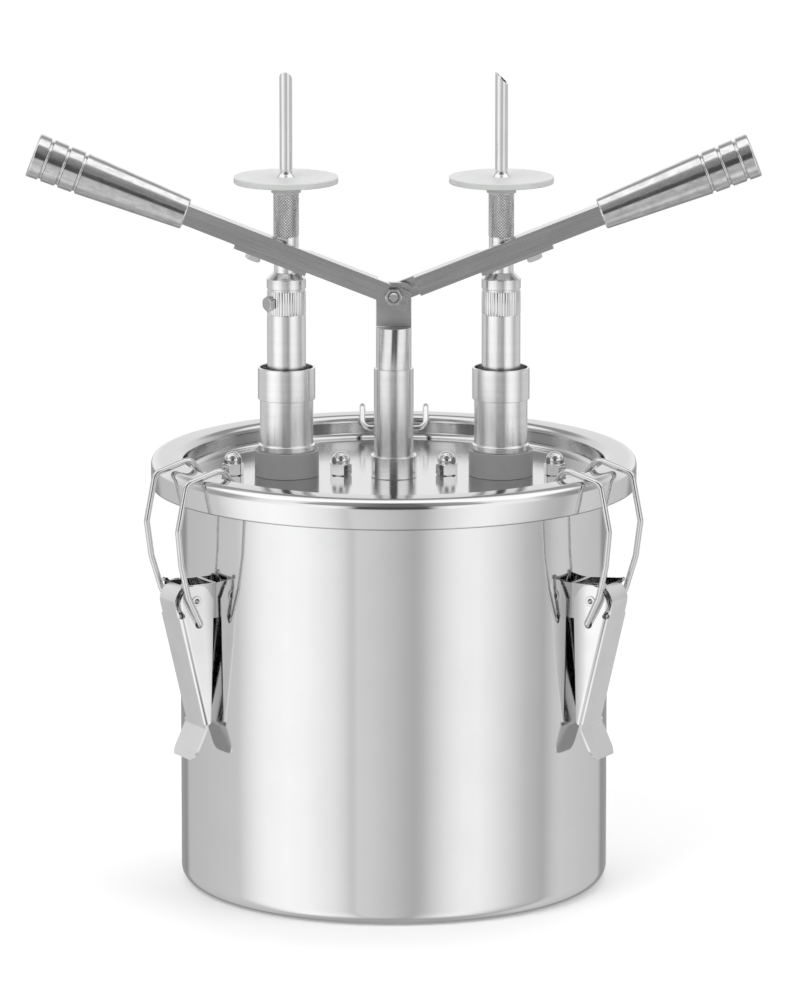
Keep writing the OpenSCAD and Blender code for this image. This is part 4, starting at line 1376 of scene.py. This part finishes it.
@dataclass
class AcornNuts(Machine):
    """The four cap nuts on the pumps' studs, in millimetres."""

    flats: float = 10.0
    hex_h: float = 6.0
    height: float = 12.0
    dome_r: float = 4.75
    reach: float = 27.8

    def build(self) -> None:
        """Builds the four nuts as one piece, as the CAD has them."""
        low = self.hex_h - 0.5
        dome = arc((0, self.height - self.dome_r), self.dome_r, 0, 90, 16)[:-1]
        nut = hex_block(self.flats, 0.0, self.hex_h, True)
        nut.revolve([(0.0, low), (self.dome_r, low)] + dome + [(0.0, self.height)], False, 48)
        builder = MeshBuilder()
        for x in (-self.pump_x, self.pump_x):
            for end in (-1, 1):
                spot = Matrix.Translation((x + end * self.reach, self.pump_y, self.plate_z))
                builder.add(nut, spot @ Matrix.Rotation(0.3 * end + x * 0.01, 4, "Z"))
        dress(builder.piece("cap_nuts", sharp=25.0), NUT_STEEL, "base", "fastener_steel", "acorn_nuts")


@dataclass
class Post(Machine):
    """The lever post with its foot ring, pivot bolt and nut, in millimetres."""

    post_r: float = 10.15
    ring_r: float = 11.85
    ring_h: float = 11.4
    half_bar: float = 5.0
    flats: float = 8.0
    head_h: float = 3.6
    bolt_r: float = 2.5
    bolt_end: float = 1.2
    thread: float = 0.32
    thread_step: float = 0.4

    def build(self) -> None:
        """Builds the post, its ring and the pivot's fasteners."""
        foot = at(0, 0, self.plate_z)
        dress(eased("lever_post", "turned_post", 0.3, foot), POST_STEEL, "base", "turned_steel", "lever_post")
        bore = self.post_r + self.seam
        ring = [(bore, 0.0), (self.ring_r, 0.0), (self.ring_r, self.ring_h), (bore, self.ring_h)]
        builder = MeshBuilder()
        builder.revolve(soften(ring, 0.5, True), True, 128)
        dress(builder.piece("post_ring", foot), CAP_STEEL, "base", "turned_steel", "post_foot_ring")
        self.fasteners()
        for node in ("post_screw", "post_washer"):
            paint_node(node, SCREW_STEEL)

    def fasteners(self) -> None:
        """Builds the pivot bolt and its nut on the front."""
        reach, r = self.half_bar + self.side_fit, self.bolt_r
        end = reach + self.head_h + self.bolt_end
        first = end - 0.7
        thread = [(r - k % 2 * self.thread, first - self.thread_step * k) for k in reversed(range(7))]
        shank = [(0.0, -reach), (r, -reach)] + thread + [(r - 0.7, end), (0.0, end)]
        bolt = MeshBuilder()
        bolt.revolve(held_flat(shank, False), False, 48)
        bolt.add(hex_block(self.flats, 0.0, self.head_h), Matrix.Translation((0, 0, -reach)) @ spin("X", 180))
        nut = hex_block(self.flats, reach, reach + self.head_h, True, r + self.seam)
        face = at(0, 0, self.plate_z + self.pivot_h) @ spin("X", 90)
        for builder, kind in ((bolt, "bolt"), (nut, "nut")):
            piece = builder.piece(f"pivot_hex_{kind}", face, 25.0)
            dress(piece, HEX_STEEL, "base", "fastener_steel", f"pivot_{kind}")


@dataclass
class Lever(Machine):
    """One hand lever: square bar, grip, push plate and its bolt, in millimetres."""

    side: Side
    rise: float = 21.5
    grip_start: float = 114.0
    grip_len: float = 83.5
    grip_r: float = 11.5
    neck_r: float = 8.25
    ring_pitch: float = 9.2
    end_ring: float = 7.2
    rings: int = 3
    groove_depth: float = 1.1
    groove_w: float = 2.0
    edge_r: float = 1.0
    plate_drop: float = 7.0
    bolt_at: float = 74.0
    bolt_flats: float = 7.0
    bolt_h: float = 2.8

    @property
    def place(self) -> Matrix:
        """The lever's own frame: X runs out along the bar."""
        pivot = at(0, 0, self.plate_z + self.pivot_h)
        return pivot @ spin("Z", 180 * (1 - self.side.number)) @ spin("Y", -self.rise)

    @property
    def last_ring(self) -> float:
        """Distance from the grip's outer end to its innermost groove."""
        return self.end_ring + (self.rings - 1) * self.ring_pitch

    def radius(self, d: float) -> float:
        """The grip's radius.

        Args:
            d: The distance from its outer end.

        Returns:
            The radius.
        """
        last, fall = self.last_ring, self.groove_depth / 2
        if d <= last:
            return self.grip_r - d / last * fall
        return self.neck_r + (self.grip_r - fall - self.neck_r) * (self.grip_len - d) / (self.grip_len - last)

    def grip(self) -> MeshBuilder:
        """Builds the turned grip with its grooves.

        Returns:
            A builder that holds the grip.
        """
        edge, end = self.edge_r, self.grip_start + self.grip_len
        outline = [(0.0, self.grip_start)]
        outline += arc((self.neck_r - edge, self.grip_start + edge), edge, -90, 0, 5)
        for i in reversed(range(self.rings)):
            for k in range(9):
                a = math.pi * k / 8
                w = self.end_ring + i * self.ring_pitch + self.groove_w / 2 * math.cos(a)
                outline.append((self.radius(w) - self.groove_depth * math.sin(a), end - w))
        outline += arc((self.grip_r - edge, end - edge), edge, 0, 90, 6) + [(0.0, end)]
        builder = MeshBuilder()
        builder.revolve(held_flat(outline, False), False, 128)
        return builder

    def build(self) -> None:
        """Builds the lever."""
        tag, body, place = self.side.value, f"{self.side.value}_lever", self.place
        for node, name, edge, finish in (
            ("lever_bar", "square_bar", 0.5, BAR_STEEL), ("push_plate", "slotted_plate", 0.3, PLATE_STEEL),
        ):
            piece = eased(f"{node}_{tag}", f"{name}_{tag}", edge, place)
            dress(piece, finish, body, "lever_steel", f"{node}_{tag}")
        piece = self.grip().piece(f"turned_grip_{tag}", place @ spin("Y", 90), 50.0)
        dress(piece, GRIP_STEEL, body, "grip_steel", f"lever_grip_{tag}")
        spot = place @ at(self.bolt_at, 0, -self.plate_drop) @ spin("X", 180)
        piece = hex_block(self.bolt_flats, 0.0, self.bolt_h).piece(f"plate_hex_bolt_{tag}", spot, 25.0)
        dress(piece, SCREW_STEEL, body, "fastener_steel", f"plate_bolt_{tag}")


@dataclass
class ToggleLatch(Machine):
    """One toggle latch: bracket, lever and wire bail, in millimetres."""

    latch: Latch
    bail_r: float = 120.2
    bail_z: float = 148.0
    half_w: float = 11.2
    wire_r: float = 1.5
    half_bail: float = 16.7
    pin_r: float = 1.3
    pin_in: float = 1.4
    pin_out: float = 1.0
    rest_gap: float = 0.3
    slope: float = 16.0
    hook_in: float = 6.9
    hook_up: float = 6.3
    bail_out: float = 5.3
    leg_outs: Triple = (7.8, 12.6, 10.3)
    leg_ups: Triple = (15.0, 32.0, 50.0)
    spreads: Point = (0.4, 0.8)
    bends: tuple[float, ...] = (0.0, 1.4, 5.0, 5.0, 5.0, 5.0, 5.0, 4.5)
    lean: float = 13.7
    curl_h: float = 9.3
    curl_in: float = 3.6
    curl_from: Point = (1.0, 6.0)

    def slope_z(self, r: float) -> float:
        """Height of the sloping legs.

        Args:
            r: The radius from the bucket's axis.

        Returns:
            The height.
        """
        off = self.shoulder_r + self.wire_r + self.rest_gap
        a = math.radians(self.slope)
        x = self.lid_r - self.shoulder_r + off * math.sin(a)
        z = self.rim_z - self.shoulder_r + off * math.cos(a)
        return z - (r - x) * math.tan(a)

    def curl(self, mesh: bpy.types.Mesh) -> None:
        """Rounds the lever's curled top a little further in.

        Args:
            mesh: The dressed lever's own mesh.
        """
        lay = at(self.hinge_r, 0, self.hinge_z) @ spin("Y", self.lean)
        start, end = self.curl_from
        for vertex in mesh.vertices:
            spot = (lay.inverted() @ vertex.co) / MM
            rise = max(0.0, spot.z / self.curl_h)
            share = min(1.0, max(0.0, (spot.x - start) / (end - start)))
            spot.x -= self.curl_in * rise**2 * share**2 * (3 - 2 * share)
            vertex.co = lay @ (spot * MM)

    def bail_path(self) -> list[Vector]:
        """The wire's line, from one pivot over the rim to the other.

        Returns:
            Its points, in the latch's own frame.
        """
        leg_in = self.half_w + self.side_fit + self.wire_r
        wide = [leg_in + (self.half_bail - leg_in) * s for s in self.spreads]
        over = math.sqrt((self.recess_r + self.lip_r) ** 2 - self.half_bail**2)
        out = self.lid_r + self.bail_out
        leg = [
            (self.bail_r, self.half_w + self.side_fit, self.bail_z),
            (self.bail_r, leg_in, self.bail_z),
            (self.bail_r + self.leg_outs[0], wide[0], self.bail_z + self.leg_ups[0]),
            (self.bail_r + self.leg_outs[1], wide[1], self.bail_z + self.leg_ups[1]),
            (self.lid_r + self.leg_outs[2], self.half_bail, self.bail_z + self.leg_ups[2]),
            (out, self.half_bail, self.slope_z(out)),
            (over, self.half_bail, self.slope_z(over)),
            (self.recess_r - self.hook_in, self.half_bail, self.plate_z + self.hook_up),
        ]
        points = [Vector(p) for p in leg] + [Vector((x, -y, z)) for x, y, z in reversed(leg)]
        return bent(points, self.bends + self.bends[::-1])

    def build(self) -> None:
        """Builds the latch."""
        tag, turn = self.latch.label, spin("Z", self.latch.bearing)
        lever = eased(f"latch_lever_{tag}", f"toggle_lever_{tag}", 0.15, turn)
        self.curl(lever.data)
        sheet = replace(LEVER_SHEET, hole=(self.bail_r, self.bail_z))
        dress(lever, sheet, f"{tag}_latch", "latch_steel", f"latch_lever_{tag}")
        bracket = eased(f"latch_bracket_{tag}", f"toggle_bracket_{tag}", 0.25, turn)
        dress(bracket, LATCH_STEEL, "base", "latch_steel", f"latch_bracket_{tag}")
        wire = MeshBuilder()
        wire.tube(self.bail_path(), self.wire_r, 20)
        for end in (-1, 1):
            ends = (self.half_w - self.pin_in, self.half_w + self.pin_out)
            wire.tube([Vector((self.bail_r, end * y, self.bail_z)) for y in ends], self.pin_r, 16)
        bail = wire.piece(f"wire_bail_{tag}", turn, 50.0)
        dress(bail, WIRE_STEEL, f"{tag}_bail", "bail_wire", f"latch_bail_{tag}")


@dataclass
class LatchRivets(Machine):
    """The hollow rivets that the latch levers turn on, in millimetres."""

    pin_r: float = 2.0
    head_r: float = 2.7
    head_t: float = 0.35
    bore_r: float = 1.3
    bore_depth: float = 4.0
    half_w: float = 11.3

    def build(self) -> None:
        """Builds the three rivets as one piece, as the CAD has them."""
        end, floor = self.half_w + self.head_t, self.half_w + self.head_t - self.bore_depth
        half = [(0.0, floor), (self.bore_r, floor), (self.bore_r, end), (self.head_r, end),
                (self.head_r, self.half_w), (self.pin_r, self.half_w)]
        rivet = MeshBuilder()
        rivet.revolve(soften(half + [(r, -z) for r, z in reversed(half)], 0.15, False), False, 40)
        builder = MeshBuilder()
        for latch in Latch:
            spot = Matrix.Translation((self.hinge_r, 0, self.hinge_z))
            builder.add(rivet, spin("Z", latch.bearing) @ spot @ spin("X", 90))
        dress(builder.piece("latch_rivets"), SCREW_STEEL, "base", "latch_steel", "latch_pins")


@dataclass
class ValvesAndBushes:
    """The guide bushes and the inlet valves' balls, which stay as the CAD has them."""

    bushes: Finish = WHITE_PLASTIC
    balls: Finish = SCREW_STEEL

    def build(self) -> None:
        """Paints both nodes."""
        paint_node("guide_bushes", self.bushes)
        paint_node("inlet_balls", self.balls)


# Stage


@dataclass
class Studio:
    """Pale floor, soft lamps, the world round them and the camera, in metres."""

    floor_size: float = 16.0
    floor_tone: Triple = (0.80, 0.80, 0.80)
    floor_fade: Point = (0.25, 0.6)
    world_level: float = 0.62
    distance: float = 3.900
    pitch: float = 11.17
    lens: float = 273.0
    sensor: float = 36.0
    clip: Point = (0.1, 50.0)
    aim: Triple = (0.005, 0.0, 0.1984)
    lamp_aim: Triple = (0.0, 0.0, 0.2)
    lamps: tuple = (
        ("key_lamp", (-1.4, -1.6, 2.2), 1.8, 34.0),
        ("fill_lamp", (1.8, -1.0, 1.8), 1.6, 18.0),
        ("top_lamp", (0.2, 0.8, 2.6), 1.6, 22.0),
    )
    panel_level: float = 1.3
    behind: Point = (0.05, 0.2)
    back_tier: Triple = (0.40, 0.55, 0.42)
    foot_tier: Triple = (-0.82, -0.97, 0.45)
    strip_y: float = 0.05
    strip_half: Point = (0.30, 0.42)
    strip_rise: Point = (0.45, 0.65)
    low_panels: tuple[Point, ...] = (
        (-180, 0.40), (-153, 0.32), (-146, 0.58), (-110, 0.66), (-93, 0.70), (-87, 0.86), (-81, 1.00),
        (-74, 1.12), (-60, 1.19), (-48, 1.15), (-32, 0.96), (-27, 0.84), (-23, 0.70), (-20.5, 0.70),
        (-19.5, 0.78), (-10, 0.73), (2, 0.61), (11, 0.51), (15, 0.57), (20, 0.72), (28, 0.93),
        (37, 1.07), (46, 1.09), (56, 0.97), (66, 0.80), (76, 0.62), (88, 0.51), (96, 0.68),
        (102, 0.73), (146, 0.60), (153, 0.32), (180, 0.40),
    )
    left_panels: tuple[Point, ...] = (
        (-180, 0.98), (-140, 0.95), (-118, 0.75), (-100, 0.42), (-84, 0.40), (-74, 0.70), (-66, 0.98),
    )
    mid_rise: Point = (-0.14, -0.03)
    mid_panels: tuple[Point, ...] = (
        (-52, 1.08), (-28, 1.12), (-22, 0.80), (-17, 0.08), (16, 0.08), (21, 0.80), (27, 1.12), (52, 1.08),
    )
    high_rise: Point = (0.34, 0.44)
    high_panels: tuple[Point, ...] = (
        (-52, 0.98), (-44, 0.40), (-26, 0.32), (-14, 0.22), (-4, 0.16), (14, 0.16), (20, 0.26),
        (30, 0.34), (44, 0.40), (52, 0.98),
    )
    right_panels: tuple[Point, ...] = (
        (70, 0.95), (82, 0.46), (94, 0.32), (108, 0.40), (124, 0.70), (142, 0.92), (180, 0.98),
    )

    def floor(self) -> None:
        """Lays the pale floor."""
        half = self.floor_size / 2
        corners = [(-half, -half, 0), (half, -half, 0), (half, half, 0), (-half, half, 0)]
        mesh = bpy.data.meshes.new("studio_floor")
        mesh.from_pydata(corners, [], [(0, 1, 2, 3)])
        floor = linked("studio_floor", mesh)
        material = bpy.data.materials.new("pale_floor")
        material.use_nodes = True
        graph = Graph(material.node_tree)
        seen = graph.node("ShaderNodeLightPath", out="Is Camera Ray")
        tone = graph.blend(seen, self.floor_tone, WHITE)
        paper = graph.node("ShaderNodeBsdfDiffuse", None, {"Color": tone})
        white = graph.node("ShaderNodeEmission", None, {"Color": WHITE, "Strength": 1.0})
        far = graph.fade(graph.length(graph.coords()), *self.floor_fade)
        shader = graph.shade(far * seen, paper, white)
        graph.node("ShaderNodeOutputMaterial", None, {"Surface": shader})
        mesh.materials.append(material)
        floor.visible_glossy = False

    def world(self) -> None:
        """Sets the world: even light, and a studio of soft panels for the metal."""
        world = bpy.data.worlds.new("soft_studio")
        bpy.context.scene.world = world
        world.use_nodes = True
        graph = Graph(world.node_tree)
        way = graph.coords("Generated")
        x, y, z = (graph.axis(way, name) for name in "XYZ")
        turn = x.fn("ARCTAN2", y * -1.0) / math.tau + 0.5
        shown = self.panels(graph, turn, self.low_panels)
        for rise, front in ((self.mid_rise, self.mid_panels), (self.high_rise, self.high_panels)):
            panels = self.panels(graph, turn, self.left_panels + front + self.right_panels)
            shown = graph.blend(graph.fade(z, *rise), shown, panels)
        behind = graph.fade(y, *self.behind)
        for start, end, level, part in ((*self.back_tier, behind), (*self.foot_tier, 1.0)):
            tone = (level / self.panel_level,) * 3
            shown = graph.blend(part * graph.fade(z, start, end), shown, tone)
        across = graph.fade((y - self.strip_y).fn("ABSOLUTE"), *self.strip_half, 1.0, 0.0)
        shown = graph.blend(across * graph.fade(z, *self.strip_rise), shown, WHITE)
        even, metal, white = (
            graph.node("ShaderNodeBackground", None, {"Color": colour, "Strength": level})
            for colour, level in ((WHITE, self.world_level), (shown, self.panel_level), (WHITE, 1.0))
        )
        glossy, camera = (
            graph.node("ShaderNodeLightPath", out=f"Is {kind} Ray") for kind in ("Glossy", "Camera")
        )
        surface = graph.shade(camera, graph.shade(glossy, even, metal), white)
        graph.node("ShaderNodeOutputWorld", None, {"Surface": surface})

    def panels(self, graph: Graph, turn: Socket, stops: Sequence[Point]) -> Socket:
        """Soft panels round the horizon, from their bearings and levels; the camera's side is at 0."""
        return graph.ramp(turn, [(0.5 + bearing / 360, level / self.panel_level) for bearing, level in stops])

    def lamp(self, name: str, spot: Triple, size: float, power: float) -> None:
        """Hangs one soft lamp that points at the machine.

        Args:
            name: The lamp's name.
            spot: Where it hangs.
            size: The width of its square panel.
            power: Its power in watts.
        """
        data = bpy.data.lights.new(name, "AREA")
        data.shape, data.size, data.energy = "SQUARE", size, power
        lamp = linked(name, data)
        lamp.location = spot
        lamp.rotation_euler = (Vector(self.lamp_aim) - Vector(spot)).to_track_quat("-Z", "Y").to_euler()
        lamp.visible_glossy = False

    def camera(self) -> None:
        """Sets the camera at the photograph's angle."""
        data = bpy.data.cameras.new("camera")
        data.lens, data.sensor_width, data.sensor_fit = self.lens, self.sensor, "AUTO"
        data.clip_start, data.clip_end = self.clip
        camera = linked("camera", data)
        pitch = math.radians(self.pitch)
        back = Vector((0.0, -math.cos(pitch), math.sin(pitch)))
        camera.location = Vector(self.aim) + back * self.distance
        camera.rotation_euler = (-back).to_track_quat("-Z", "Y").to_euler()
        bpy.context.scene.camera = camera

    def build(self) -> None:
        """Builds the stage."""
        bpy.context.scene.view_settings.view_transform = "Standard"
        self.floor()
        self.world()
        for lamp in self.lamps:
            self.lamp(*lamp)
        self.camera()


def main() -> None:
    """Builds the machine and its stage in order."""
    logging.basicConfig(level=logging.INFO, format="%(name)s: %(message)s")
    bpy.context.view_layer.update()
    for part in (
        Studio(), BucketAndLid(), *map(Pump, Side), AcornNuts(), Post(), *map(Lever, Side),
        *map(ToggleLatch, Latch), LatchRivets(), ValvesAndBushes(),
    ):
        part.build()
        LOG.info("%s is built", type(part).__name__)
    bpy.context.view_layer.update()


if __name__ == "__main__":
    main()
